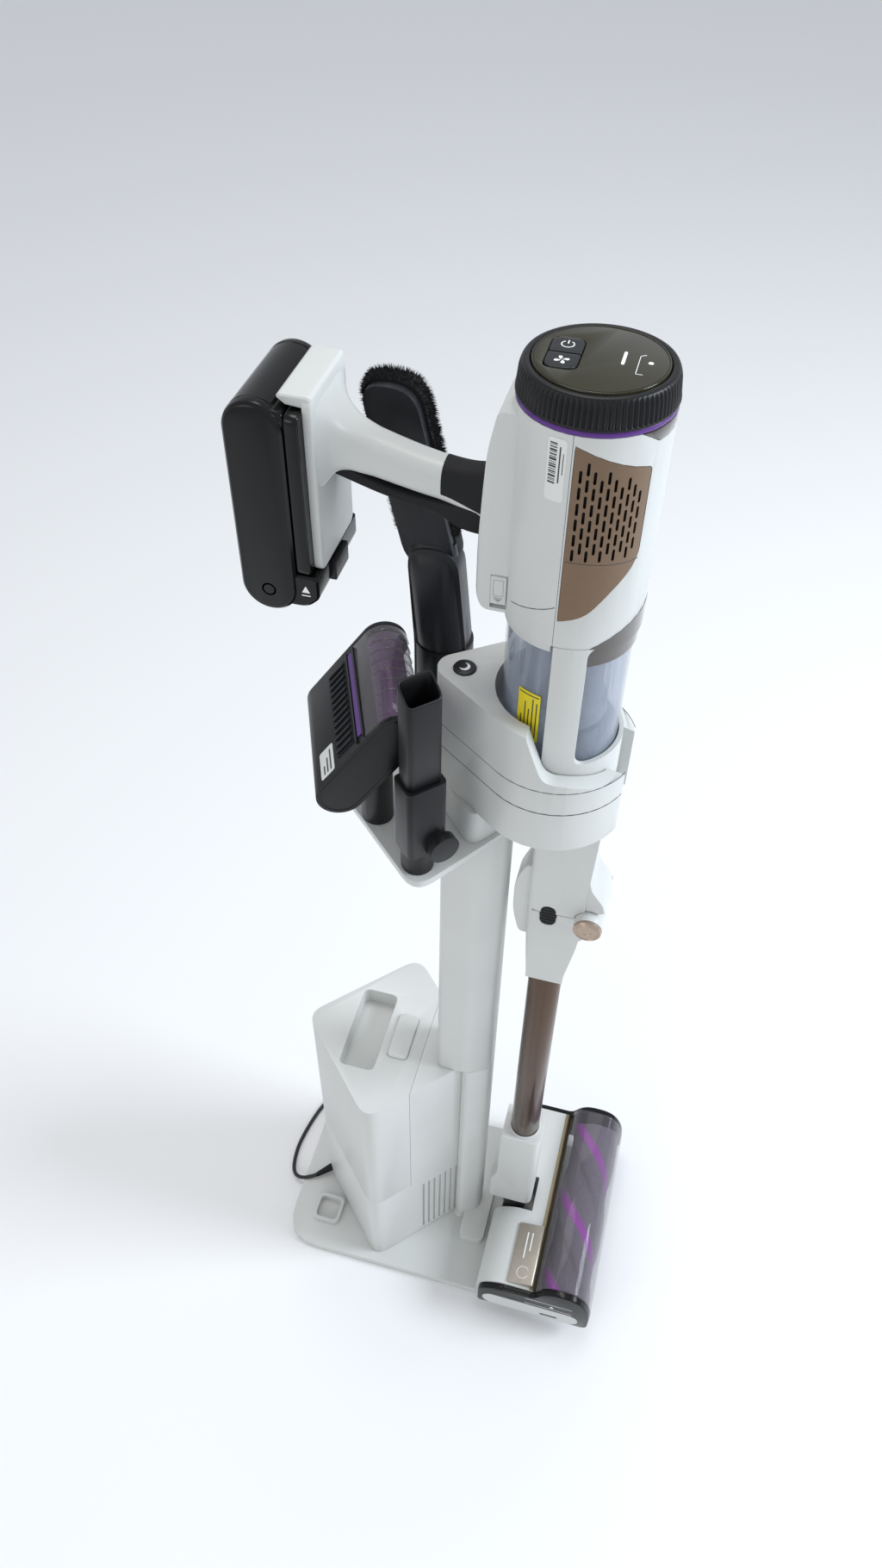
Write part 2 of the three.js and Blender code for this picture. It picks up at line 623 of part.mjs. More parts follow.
function upperNeck() {
  const profile = outline([[neck.rear, zHinge - gap / 2], [neck.rear, zCupFrame - gap], [-46, zCupFrame - gap],
    [-49, zHinge + 145, 20], [neck.front, zHinge + 40, 30], [neck.front, zHinge - gap / 2]]);
  const plan = rounded(-neck.half, neck.half, -60, neck.rear, 9);
  const stem = meet(prism("x", profile, -neck.half, neck.half), prism("z", plan, zHinge - 1, zCupFrame));
  const knuckle = barrel(hingeRadius, -earInner + gap, earInner - gap);
  const earRoom = [-1, 1].map((side) =>
    barrel(hingeRadius + 0.6, side < 0 ? -60 : earInner - gap, side < 0 ? -earInner + gap : 60));
  const passage = rod("z", airway, [0, tubeY], zHinge - 10, zCupFrame + 1, 28);
  const window = rod("x", windowRadius, [tubeY + 3, zHinge - 4], -60, 60, 20);
  const pinHole = barrel(pinRadius + gap, -60, 60);
  return cut(cut(join(cut(stem, ...earRoom), knuckle), passage, window, pinHole), latchWell());
}

const pinRadius = 4;

function hingePin() {
  return barrel(pinRadius, -earOuter + gap, earOuter - gap);
}

function hingeCap(side) {
  return side < 0 ? barrel(hingeRadius - 0.4, -33, -earOuter - gap)
    : barrel(hingeRadius - 0.4, earOuter + gap, 33);
}

function hingeHose() {
  const outer = airway - gap;
  const waves = [];
  const steps = 6;
  for (let i = 0; i <= steps; i += 1) {
    waves.push([outer - (i % 2) * 1.5, zHinge + 6 + i * 4]);
  }
  const inner = outer - 3;
  return turned([...waves, [inner, zHinge + 6 + steps * 4], [inner, zHinge + 6], waves[0]],
    0, tubeY, 24);
}

function foldLatch() {
  return meet(
    block([-latch.half, latch.half], [neck.rear - latch.depth + 0.5, latch.rear],
      [zHinge - latch.below, zHinge + latch.above]),
    prism("x", outline([[0, zHinge - latch.below], [neck.rear + 7, zHinge - latch.below, 5],
      [latch.rear, zHinge - 18, 12], [latch.rear, zHinge + 25, 12],
      [neck.rear + 5, zHinge + latch.above, 5], [0, zHinge + latch.above]]), -20, 20));
}

// ---------------------------------------------------------------- hand unit: handle and battery
const grip = { half: 14, insertHalf: 13, root: bodyRadius + 13.1 };
const face = { half: 34, thick: 6.5 }; // white plate that the handle runs into
const batteryTop = zBody + 145;
const batteryBottom = batteryTop - battery.height;
const batteryFront = battery.rear - battery.thick;
const footTop = batteryBottom + 33;
const faceBottom = footTop + gap;
const mountFront = battery.front + face.thick + gap;

// The rear casing gives way to the handle's root by the clearance asked for.
function handleSocket(clearance) {
  return block([-grip.half - clearance, grip.half + clearance], [grip.root - 2.6, grip.root + 17.4],
    [zBody + 53 - clearance, zBody + 99 + clearance]);
}

function handleGrip() {
  const rear = battery.front + 2;
  const bend = grip.root + 34.4;
  const side = outline([[grip.root, zBody + 72], [bend, zBody + 74, 20], [130, zBody + 78, 40],
    [rear, zBody + 94, 10], [rear, zBody + 143], [148, zBody + 128, 20],
    [125, zBody + 116, 40], [bend, zBody + 103, 25], [grip.root, zBody + 99]]);
  const bar = meet(prism("x", side, -grip.half, grip.half, 8),
    prism("z", rounded(-grip.half, grip.half, 40, 300, 4), 0, 2000));
  const facePlate = prism("y", rounded(-face.half, face.half, faceBottom, batteryTop + 1, 5),
    battery.front, battery.front + face.thick);
  const lip = block([-face.half + 2, face.half - 2], [battery.front + 1, batteryFront + 6],
    [batteryTop - 3, batteryTop + 2]);
  return join(bar, facePlate, lip);
}

function gripInsert() {
  const rear = battery.front - gap;
  const bend = grip.root + 34.4;
  const side = outline([[grip.root, zBody + 53], [bend - 17, zBody + 55, 10], [bend, zBody + 66, 20],
    [130, zBody + 71, 40], [rear, zBody + 84], [rear, zBody + 93],
    [130, zBody + 77.4, 40], [bend, zBody + 73.4, 20], [grip.root, zBody + 71.4]]);
  return prism("x", side, -grip.insertHalf, grip.insertHalf, 8);
}

function batteryMount() {
  const half = battery.halfWidth - 2;
  return prism("y", rounded(-half, half, faceBottom, batteryTop - 7 - gap, 6),
    mountFront, batteryFront - gap);
}

function batteryPack() {
  const { halfWidth, rear, front, thick } = battery;
  const radius = thick / 2;
  const middle = rear - radius;
  const cells = prism("x", capsule([middle, batteryBottom + radius], [middle, batteryTop - radius], radius),
    -halfWidth, halfWidth, 9);
  const toe = prism("y", rounded(-halfWidth + 2, halfWidth - 2, batteryBottom + 6, footTop, 6),
    front + 1, middle);
  const port = rod("x", 4, [middle, batteryBottom + 19], -halfWidth - 1, -halfWidth + 8, 16);
  const well = block([-clip.half - gap, clip.half + gap], [front - 1, front + clip.depth + clip.travel],
    [batteryBottom + clip.bottom - gap, batteryBottom + clip.top + gap]);
  return cut(join(cells, toe), port, well);
}

const clip = { half: 14, bottom: 12, top: 28, depth: 5, travel: 2, rise: 1.5 };

function batteryClip() {
  const { front } = battery;
  return block([-clip.half, clip.half], [front - clip.rise, front + clip.depth],
    [batteryBottom + clip.bottom, batteryBottom + clip.top]);
}

function buildHandUnit() {
  place("hand_unit", "motor_housing_rear", housingRear(), white);
  place("hand_unit", "motor_housing_front", housingFront(), white);
  place("hand_unit", "exhaust_grille_near", exhaustGrille(-1), bronze);
  place("hand_unit", "exhaust_grille_far", exhaustGrille(1), bronze);
  place("hand_unit", "sensor_window", sensorWindow(), smoky);
  place("hand_unit", "accent_ring", accentRing(), purple);
  place("hand_unit", "dial_ring", dialRing(), black);
  place("hand_unit", "display_panel", displayPanel(), glossBlack);
  place("hand_unit", "fan_button", displayKey(-1), satinBlack);
  place("hand_unit", "power_button", displayKey(1), satinBlack);
  place("hand_unit", "motor", fanMotor(), steel);
  place("hand_unit", "impeller", impeller(), steel);
  place("hand_unit", "dust_cup", dustCup(), clear);
  place("hand_unit", "cyclone_screen", cycloneScreen(), satinBlack);
  place("hand_unit", "cup_door", cupDoor(), clear);
  place("hand_unit", "cup_frame", cupFrame(), white);
  place("hand_unit", "cup_release_slider", cupSlider(), white);
  place("hand_unit", "upper_neck", upperNeck(), white);
  place("hand_unit", "hinge_pin", hingePin(), steel);
  place("hand_unit", "hinge_hose", hingeHose(), rubber);
  place("hand_unit", "fold_latch", foldLatch(), satinBlack);
  place("hand_unit", "handle_grip", handleGrip(), white);
  place("hand_unit", "grip_insert", gripInsert(), black);
  place("hand_unit", "battery_mount", batteryMount(), white);
  place("hand_unit", "battery_pack", batteryPack(), satinBlack);
  place("hand_unit", "battery_release", batteryClip(), satinBlack);
}

// ---------------------------------------------------------------- wand
const socket = 15;

function lowerKnuckle() {
  const top = zHinge - gap - gap / 2;
  const lipRear = tubeY + tubeRadius + 1;
  const lipFront = tubeY - tubeRadius - 2;
  const profile = outline([[neck.rear, top], [neck.rear - 1, zHinge - 40, 20], [lipRear, zTubeTop + 10, 20],
    [lipRear, zTubeTop], [lipFront, zTubeTop], [lipFront, zTubeTop + 12, 20],
    [neck.front + 2, zHinge - 42, 20], [neck.front, top]]);
  const plan = rounded(-neck.knuckleHalf, neck.knuckleHalf, -60, neck.rear, 9);
  const stem = cut(
    meet(prism("x", profile, -neck.knuckleHalf, neck.knuckleHalf), prism("z", plan, zTubeTop, top)),
    barrel(hingeRadius + 0.6, -earInner, earInner));
  const ears = [-1, 1].map((side) => {
    const [x0, x1] = side < 0 ? [-earOuter, -earInner] : [earInner, earOuter];
    const arm = prism("x", outline([[hingeY, zHinge - hingeRadius], [hingeY + 8, zHinge - 9],
      [hingeY + 17, zHinge - 12], [hingeY + 17, zHinge - 44], [hingeY + 3, zHinge - 30]], 3),
      side < 0 ? -neck.knuckleHalf : earInner, side < 0 ? -earInner : neck.knuckleHalf);
    return join(barrel(hingeRadius, x0, x1), arm);
  });
  const passage = rod("z", airway, [0, tubeY], zTubeTop - 1, zHinge + 1, 28);
  const seat = rod("z", tubeRadius + gap, [0, tubeY], zTubeTop - 1, zTubeTop + socket + gap, 32);
  const window = rod("x", windowRadius, [tubeY + 3, zHinge - 4], -60, 60, 20);
  return cut(cut(join(stem, ...ears), passage, seat, window, barrel(pinRadius + gap, -60, 60)), latchWell());
}

function wandTube() {
  const wall = 2;
  const from = zNeckTop - socket;
  const to = zTubeTop + socket;
  const outer = tubeRadius;
  const inner = tubeRadius - wall;
  return turned([[outer, from], [outer, to], [inner, to], [inner, from], [outer, from]], 0, tubeY, 32);
}

function nozzleNeck() {
  const half = tubeRadius + 5.5;
  const front = tubeY - half;
  const rear = tubeY + half + 12;
  const profile = outline([[rear - 10, zNeckTop], [rear - 10, zNeckBottom + 66, 20],
    [rear, zNeckBottom + 40, 20], [rear, zNeckBottom, 3], [front, zNeckBottom, 3], [front, zNeckTop]]);
  const plan = rounded(-half, half, front, rear, 9);
  const outer = meet(prism("x", profile, -half, half), prism("z", plan, zNeckBottom, zNeckTop));
  const passage = rod("z", airway, [0, tubeY], zNeckBottom - 1, zNeckTop + 1, 28);
  const seat = rod("z", tubeRadius + gap, [0, tubeY], zNeckTop - socket - gap, zNeckTop + 1, 32);
  return cut(outer, passage, seat);
}

const yoke = { z: 52, barrel: 14, half: 19, pin: 5, pinEnd: 26 };

function neckYoke() {
  const collar = turned([[0, yoke.z], [airway + 2, yoke.z], [airway + 5, yoke.z + 20],
    [20, zNeckBottom - 12], [20, zNeckBottom - gap], [0, zNeckBottom - gap]], 0, tubeY, 28);
  const hub = rod("x", yoke.barrel, [tubeY, yoke.z], -yoke.half, yoke.half, 28);
  const pins = rod("x", yoke.pin, [tubeY, yoke.z], -yoke.pinEnd, yoke.pinEnd, 20);
  const passage = rod("z", 9, [0, tubeY], yoke.z + 4, zNeckBottom + 1, 20);
  return cut(join(collar, hub, pins), passage);
}

function buildWand() {
  place("wand", "lower_knuckle", lowerKnuckle(), white);
  place("wand", "hinge_cap_near", hingeCap(-1), brushed);
  place("wand", "hinge_cap_far", hingeCap(1), brushed);
  place("wand", "wand_tube", wandTube(), tubeBronze);
  place("wand", "nozzle_neck", nozzleNeck(), white);
  place("wand", "neck_yoke", neckYoke(), black);
}

// ---------------------------------------------------------------- nozzle
const endCap = 8;
const roll = { y: -103, z: 62, radius: 31.5, core: 12 };
const wheel = { x: 90, y: -46, radius: 9, half: 7, z: 23 };

function nozzleHousing() {
  const inner = nozzle.halfWidth - endCap - gap;
  const profile = outline([[nozzle.rear, nozzle.bottom, 5], [nozzle.rear, nozzle.top - 18, 16],
    [nozzle.rear - 24, nozzle.top, 18], [nozzle.split + 6, nozzle.top, 4], [nozzle.split + gap, nozzle.top - 6],
    [nozzle.split + gap, nozzle.bottom]]);
  const body = prism("x", profile, -inner, inner, 6);
  const notch = block([-23, 23], [-42, 20], [nozzle.bottom + 6, nozzle.top + 1]);
  const notchRear = block([-23, 23], [tubeY + 16, 20], [nozzle.bottom - 1, nozzle.top + 1]);
  const bearing = rod("x", yoke.pin + gap, [tubeY, yoke.z], -yoke.pinEnd - gap, yoke.pinEnd + gap, 20);
  const wheelRooms = [-1, 1].map((side) => block(
    [side * wheel.x - wheel.half - 1, side * wheel.x + wheel.half + 1],
    [wheel.y - wheel.radius - 1.5, wheel.y + wheel.radius + 1.5], [0, wheel.z + wheel.radius + 1.5]));
  const inlet = block([-60, 60], [nozzle.split - 5, -50], [nozzle.bottom + 8, nozzle.bottom + 30]);
  const throat = block([-12, 12], [-52, -41], [nozzle.bottom + 8, nozzle.bottom + 30]);
  const axleHoles = [-1, 1].map((side) => rod("x", 2 + gap, [wheel.y, wheel.z],
    side * wheel.x - wheel.half - 5, side * wheel.x + wheel.half + 5, 14));
  return cut(body, notch, notchRear, bearing, ...wheelRooms, ...axleHoles, inlet, throat);
}

function coverOutline(inset) {
  const top = nozzle.coverTop - inset;
  return outline([[nozzle.split - inset, nozzle.bottom + 3], [nozzle.split - inset, top - 12, 10],
    [nozzle.split - 14, top, 22], [nozzle.front + 16, top, 26], [nozzle.front + inset, top - 34, 34],
    [nozzle.front + inset, nozzle.bottom + 3]]);
}

function brushCover() {
  const half = nozzle.halfWidth - endCap - gap;
  const outer = prism("x", coverOutline(0), -half, half, 8);
  const inner = prism("x", coverOutline(2.4), -half - 1, half + 1, 8);
  const mouth = block([-200, 200], [nozzle.front + 2.4, nozzle.split - 2.4],
    [nozzle.bottom, nozzle.bottom + 8]);
  const gate = block([-60, 60], [nozzle.split - 4, nozzle.split + 1],
    [nozzle.bottom + 8, nozzle.bottom + 30]);
  return cut(outer, inner, mouth, gate);
}

function brushRoll() {
  const half = nozzle.halfWidth - endCap - 2;
  const body = rod("x", roll.radius, [roll.y, roll.z], -half + 3, half - 3, 32);
  const pins = rod("x", 4, [roll.y, roll.z], -half - 4, half + 4, 16);
  const grooves = [];
  for (let i = 0; i < 12; i += 1) {
    const geometry = new THREE.BoxGeometry(2 * nozzle.halfWidth, 3, 5);
    geometry.translate(0, 0, roll.radius).rotateX((i / 12) * 2 * Math.PI).translate(0, roll.y, roll.z);
    grooves.push(solid(geometry));
  }
  return join(cut(body, ...grooves), pins);
}

function nozzleCap(side) {
  const shape = outline([[nozzle.rear - 4, nozzle.bottom, 6], [nozzle.rear - 4, nozzle.top - 16, 12],
    [nozzle.rear - 26, nozzle.top - 3, 14], [nozzle.split + 2, nozzle.top - 3, 6],
    [nozzle.split - 14, nozzle.coverTop - 2, 22], [nozzle.front + 18, nozzle.coverTop - 2, 24],
    [nozzle.front + 1, nozzle.coverTop - 34, 30], [nozzle.front + 1, nozzle.bottom, 10]]);
  const inner = nozzle.halfWidth - endCap;
  const [x0, x1] = side < 0 ? [-nozzle.halfWidth, -inner] : [inner, nozzle.halfWidth];
  const body = prism("x", shape, x0, x1, 6);
  const bearing = rod("x", 4 + gap, [roll.y, roll.z], side < 0 ? -inner - 4 : inner - 1,
    side < 0 ? -inner + 1 : inner + 4, 16);
  return cut(body, bearing);
}

const badge = { x0: -118, x1: -42, front: -63, rear: -31, thick: 9 };

function nozzleBadge() {
  return prism("x", outline([[badge.rear, nozzle.top + gap], [badge.front, nozzle.top + gap],
    [badge.front, nozzle.top + badge.thick, 5], [badge.rear, nozzle.top + 3, 2]]), badge.x0, badge.x1);
}

function nozzleWheel(side) {
  const x = side * wheel.x;
  return join(rod("x", wheel.radius, [wheel.y, wheel.z], x - wheel.half, x + wheel.half, 24),
    rod("x", 2, [wheel.y, wheel.z], x - wheel.half - 4, x + wheel.half + 4, 14));
}

function buildNozzle() {
  place("nozzle", "nozzle_housing", nozzleHousing(), white);
  place("nozzle", "nozzle_cap_near", nozzleCap(-1), black);
  place("nozzle", "nozzle_cap_far", nozzleCap(1), black);
  place("nozzle", "brush_cover", brushCover(), smoky);
  place("nozzle", "brush_roll", brushRoll(), purple);
  place("nozzle", "nozzle_badge", nozzleBadge(), tan);
  place("nozzle", "nozzle_wheel_near", nozzleWheel(-1), rubber);
  place("nozzle", "nozzle_wheel_far", nozzleWheel(1), rubber);
}

// ---------------------------------------------------------------- tools on the tray
const foot = { radius: 13.5, bore: peg.radius + gap };

// A post up from the tray with a socket for the peg in its underside; centre is in the tool's own plane.
function toolFoot(height, centre = [0, 0]) {
  return cut(rod("z", foot.radius, centre, 0, height, 24),
    rod("z", foot.bore, centre, -1, peg.height + 1, 20));
}

// Drawn in its own frame: x along the brush, y to the rear, z up from the tray's foot plane.
const pet = { half: 56, radius: 19, low: [23, 78], high: [-23, 136], brush: 14, turn: 0.4, offset: [4, 11] };

function petHousing() {
  const shape = capsule(pet.low, pet.high, pet.radius);
  const core = prism("x", shape, -pet.half, pet.half, 10);
  const room = rod("x", pet.brush + 1.5, pet.high, -pet.half + 5, pet.half - 5, 24);
  const lid = block([-pet.half + 4, pet.half - 4], [-60, 60], [pet.high[1] - 1, pet.high[1] + 40]);
  const mouth = block([-pet.half + 8, pet.half - 8], [-60, pet.high[0] - 8],
    [pet.high[1] - 14, pet.high[1] + 1]);
  const bearing = rod("x", 2.5 + gap, pet.high, -pet.half + 1, pet.half - 1, 14);
  const overPeg = new THREE.Vector2(-pet.offset[0], -pet.offset[1])
    .rotateAround(new THREE.Vector2(), -pet.turn).toArray();
  return cut(join(core, toolFoot(100, overPeg)), room, lid, mouth, bearing);
}

function petCover() {
  const half = pet.half - 4 - gap;
  const shell = cut(prism("x", capsule(pet.low, pet.high, pet.radius), -half, half, 10),
    rod("x", pet.brush + 1.5, pet.high, -pet.half, pet.half, 24));
  const above = block([-100, 100], [-60, 60], [pet.high[1] - 1 + gap, pet.high[1] + 40]);
  return meet(shell, above);
}

function petRoll() {
  return join(rod("x", pet.brush, pet.high, -pet.half + 6, pet.half - 6, 20),
    rod("x", 2.5, pet.high, -pet.half + 2, pet.half - 2, 14));
}

const crevice = { halfLong: 14.5, halfShort: 9.5, wall: 1.6, height: 98, stem: 30, turn: -0.785, aside: -5 };
const creviceStem = 11;
const holderTop = 105;

function toolHolder() {
  const { aside } = crevice;
  const box = prism("z", rounded(-17, 17, aside - 13, 8, 5), 30, holderTop);
  const stem = toolFoot(34);
  const disc = rod("y", 13, [10, 38], aside - 22, aside - 13, 24);
  const well = prism("z", rounded(-creviceStem - gap, creviceStem + gap, aside - 7 - gap, aside + 7 + gap, 4),
    holderTop - crevice.stem - gap, holderTop + 1);
  return cut(join(box, stem, disc), well);
}

function creviceTool() {
  const { halfLong, halfShort, wall, height, stem, aside } = crevice;
  const z0 = holderTop + gap;
  const body = prism("z", rounded(-halfLong, halfLong, aside - halfShort, aside + halfShort, 5),
    z0, z0 + height);
  const hollow = prism("z", rounded(-halfLong + wall, halfLong - wall, aside - halfShort + wall,
    aside + halfShort - wall, 4), z0 + 8, z0 + height + 1);
  const shank = prism("z", rounded(-creviceStem, creviceStem, aside - 7, aside + 7, 4), z0 - stem, z0 + 1);
  const low = aside - halfShort - 1;
  const high = aside + halfShort + 1;
  const slant = prism("x", outline([[low, z0 + height - 16], [high, z0 + height],
    [high, z0 + height + 9], [low, z0 + height + 9]]), -20, 20);
  return cut(join(body, shank), hollow, slant);
}

// The duster stands on its own peg; its broad head faces sideways and leans back as it rises.
const duster = { half: 9, base: 24, neck: 200, top: 345, lean: 46, rim: 7 };

function dusterHead(margin) {
  const { neck: low, top, lean } = duster;
  const width = 20 + margin;
  return outline([[8 - width, low - margin, 20], [lean - width - 4, top + margin, 18],
    [lean + width - 4, top + margin, 18], [8 + width, low - margin, 20]]);
}

function dusterBody() {
  const { half, base, neck: low, top } = duster;
  const head = prism("x", dusterHead(0), -half, half, 6);
  const stem = prism("x", outline([[-21, 92], [-21, 128, 10], [-12, low + 20, 20], [28, low + 20, 20],
    [22, 128, 10], [22, 92]]), -half - 3, half, 6);
  const cup = rod("z", base, [0, 0], 70, 128, 28);
  return join(cut(head, block([-100, 100], [-100, 100], [top + 1, top + 50])), stem, cup, toolFoot(74));
}

function dusterBristles() {
  const { half, rim, neck: low } = duster;
  const pad = prism("x", dusterHead(rim), -2, half + 6, 6);
  const blade = prism("x", dusterHead(gap), -half, half + gap, 6);
  const head = block([-100, 100], [-100, 100], [low + 24, low + 300]);
  return meet(cut(pad, blade), head);
}

function buildTools() {
  groups.pet_tool.position.set(petPeg[0] + pet.offset[0], petPeg[1] + pet.offset[1], zToolFoot);
  groups.pet_tool.rotation.z = pet.turn;
  place("pet_tool", "pet_tool_housing", petHousing(), satinBlack);
  place("pet_tool", "pet_tool_cover", petCover(), clear);
  place("pet_tool", "pet_brush_roll", petRoll(), purple);
  groups.crevice.position.set(crevicePeg[0], crevicePeg[1], zToolFoot);
  groups.crevice.rotation.z = crevice.turn;
  place("crevice", "tool_holder", toolHolder(), black);
  place("crevice", "crevice_tool", creviceTool(), black);
  groups.duster.position.set(dusterPeg[0], dusterPeg[1], zToolFoot);
  place("duster", "duster_body", dusterBody(), satinBlack);
  place("duster", "duster_bristles", dusterBristles(), rubber);
}

buildDock();
buildHandUnit();
buildWand();
buildNozzle();
buildTools();

export default assembly;
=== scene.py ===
"""A cordless stick vacuum in its emptying dock: surfaces, finishes, camera and light on the CAD frame."""
import json
import math

import bmesh
import bpy
import numpy as np
from mathutils import Matrix, Vector


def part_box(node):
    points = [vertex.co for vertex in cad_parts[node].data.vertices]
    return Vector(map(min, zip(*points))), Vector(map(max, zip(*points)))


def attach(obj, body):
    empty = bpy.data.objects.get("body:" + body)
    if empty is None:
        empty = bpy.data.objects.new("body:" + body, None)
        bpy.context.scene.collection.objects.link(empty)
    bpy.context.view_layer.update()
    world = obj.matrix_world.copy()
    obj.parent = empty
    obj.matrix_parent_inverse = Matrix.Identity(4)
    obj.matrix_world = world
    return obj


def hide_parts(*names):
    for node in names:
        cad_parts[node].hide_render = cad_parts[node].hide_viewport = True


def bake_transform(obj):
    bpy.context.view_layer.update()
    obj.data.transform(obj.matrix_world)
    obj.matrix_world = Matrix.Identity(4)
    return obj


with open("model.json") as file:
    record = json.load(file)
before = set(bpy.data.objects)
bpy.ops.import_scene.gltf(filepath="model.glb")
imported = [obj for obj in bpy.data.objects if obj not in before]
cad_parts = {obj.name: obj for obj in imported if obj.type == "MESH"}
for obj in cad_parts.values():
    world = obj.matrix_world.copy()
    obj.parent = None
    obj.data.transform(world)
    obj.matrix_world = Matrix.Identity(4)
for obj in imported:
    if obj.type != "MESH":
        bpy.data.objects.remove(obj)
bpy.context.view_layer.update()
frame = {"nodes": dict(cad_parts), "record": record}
MM = 0.001
NODES = frame["nodes"]


# ------------------------------------------------------------------ shader maths
class Value:
    """A shader socket that arithmetic can be written on; each operator adds one Math node."""

    def __init__(self, tree, socket):
        self.tree = tree
        self.socket = socket

    def math(self, operation, *others):
        node = self.tree.nodes.new("ShaderNodeMath")
        node.operation = operation
        for place, value in enumerate((self, *others)):
            if isinstance(value, Value):
                self.tree.links.new(value.socket, node.inputs[place])
            else:
                node.inputs[place].default_value = value
        return Value(self.tree, node.outputs[0])

    def __add__(self, other):
        return self.math("ADD", other)

    __radd__ = __add__

    def __mul__(self, other):
        return self.math("MULTIPLY", other)

    __rmul__ = __mul__

    def __sub__(self, other):
        return self.math("SUBTRACT", other)

    def __rsub__(self, other):
        return (self * -1.0) + other

    def wave(self):
        return self.math("SINE")

    def step(self, low, high):
        """0 below low, 1 above high, straight between."""
        return ((self - low) * (1.0 / (high - low))).math("MAXIMUM", 0.0).math("MINIMUM", 1.0)


class Finish:
    """A material built round one Principled shader."""

    def __init__(self, name, color, roughness, **constants):
        self.material = bpy.data.materials.new(name)
        self.material.use_nodes = True
        self.tree = self.material.node_tree
        self.shader = self.tree.nodes["Principled BSDF"]
        self.set("Base Color", (*color, 1.0))
        self.set("Roughness", roughness)
        for socket, value in constants.items():
            self.set(socket.replace("_", " "), value)

    def set(self, socket, value):
        """Sets one of the shader's sockets to a number or colour, or links a Value to it."""
        if isinstance(value, Value):
            self.tree.links.new(value.socket, self.shader.inputs[socket])
        else:
            self.shader.inputs[socket].default_value = value

    def node(self, kind, settings=None, output=0, **sockets):
        """Adds one node: its settings first, then the values or links of its sockets."""
        node = self.tree.nodes.new("ShaderNode" + kind)
        for key, value in (settings or {}).items():
            setattr(node, key, value)
        for key, value in sockets.items():
            socket = node.inputs[int(key[1:])] if key[0] == "_" else node.inputs[key.replace("_", " ")]
            if isinstance(value, Value):
                self.tree.links.new(value.socket, socket)
            else:
                socket.default_value = value
        return Value(self.tree, node.outputs[output])

    def place(self, scale=(1, 1, 1)):
        """The piece's own coordinates, stretched by a scale along each axis."""
        where = self.node("TexCoord", output=3)
        return self.node("Mapping", Vector=where, Scale=scale)

    def noise(self, scale, detail=3.0, stretch=(1, 1, 1), roughness=0.55):
        """Noise over the piece's own coordinates, 0 to 1."""
        return self.node("TexNoise", Vector=self.place(stretch), Scale=scale, Detail=detail,
                         Roughness=roughness)

    def mix(self, factor, low, high):
        """A colour between low and high by a factor of 0 to 1."""
        return self.node("Mix", {"data_type": "RGBA"}, 2, _0=factor, _6=(*low, 1.0), _7=(*high, 1.0))

    def bump(self, height, strength, distance):
        """Small relief from a height of 0 to 1, as deep as distance in metres."""
        self.set("Normal", self.node("Bump", Height=height, Strength=strength, Distance=distance))

    def axis(self, index):
        """One of the piece's own coordinates: 0, 1 or 2 for x, y or z."""
        split = self.tree.nodes.new("ShaderNodeSeparateXYZ")
        self.tree.links.new(self.node("TexCoord", output=3).socket, split.inputs[0])
        return Value(self.tree, split.outputs[index])


def tinted(color, factor):
    """A colour made lighter or darker by a factor."""
    return tuple(min(1.0, channel * factor) for channel in color)


def moulded(name, color, roughness, grain=0.12, **constants):
    """Injection-moulded plastic: fine spark-eroded grain, slow colour drift and handling marks."""
    finish = Finish(name, color, roughness, **constants)
    drift = finish.noise(9.0, 2.0)
    marks = finish.noise(60.0, 4.0, roughness=0.7)
    finish.set("Base Color", finish.mix(drift, tinted(color, 0.95), tinted(color, 1.05)))
    finish.set("Roughness", drift * 0.06 + marks * 0.10 + (roughness - 0.08))
    fine = finish.noise(2600.0, 2.0)
    finish.bump(fine * 0.7 + drift * 0.3, grain, 0.0002)
    return finish.material


def metallic_paint(name, color, roughness, stretch=(1, 1, 1)):
    """Metal or metallic lacquer with flake sparkle and drawn streaks."""
    finish = Finish(name, color, roughness, Metallic=0.85, Coat_Weight=0.35, Coat_Roughness=0.08)
    flake = finish.noise(5200.0, 1.0)
    streak = finish.noise(160.0, 4.0, stretch)
    finish.set("Base Color", finish.mix(flake * 0.6 + streak * 0.4, tinted(color, 0.8),
                                        tinted(color, 1.25)))
    finish.set("Roughness", streak * 0.16 + (roughness - 0.08))
    finish.bump(flake * 0.5 + streak * 0.5, 0.1, 0.0001)
    return finish.material


def see_through(name, color, alpha, roughness=0.05):
    """Clear moulding: thin where looked straight through, denser and brighter at its edges."""
    finish = Finish(name, color, roughness, Coat_Weight=0.6, Coat_Roughness=0.04, IOR=1.5)
    facing = finish.node("LayerWeight", None, 1, Blend=0.45)
    haze = finish.noise(35.0, 3.0)
    finish.set("Alpha", facing * 0.45 + haze * 0.06 + (alpha - 0.03))
    finish.set("Base Color", finish.mix(haze, tinted(color, 0.88), tinted(color, 1.08)))
    finish.set("Roughness", haze * 0.08 + (roughness - 0.02))
    finish.bump(finish.noise(220.0, 2.0), 0.05, 0.0003)
    return finish.material


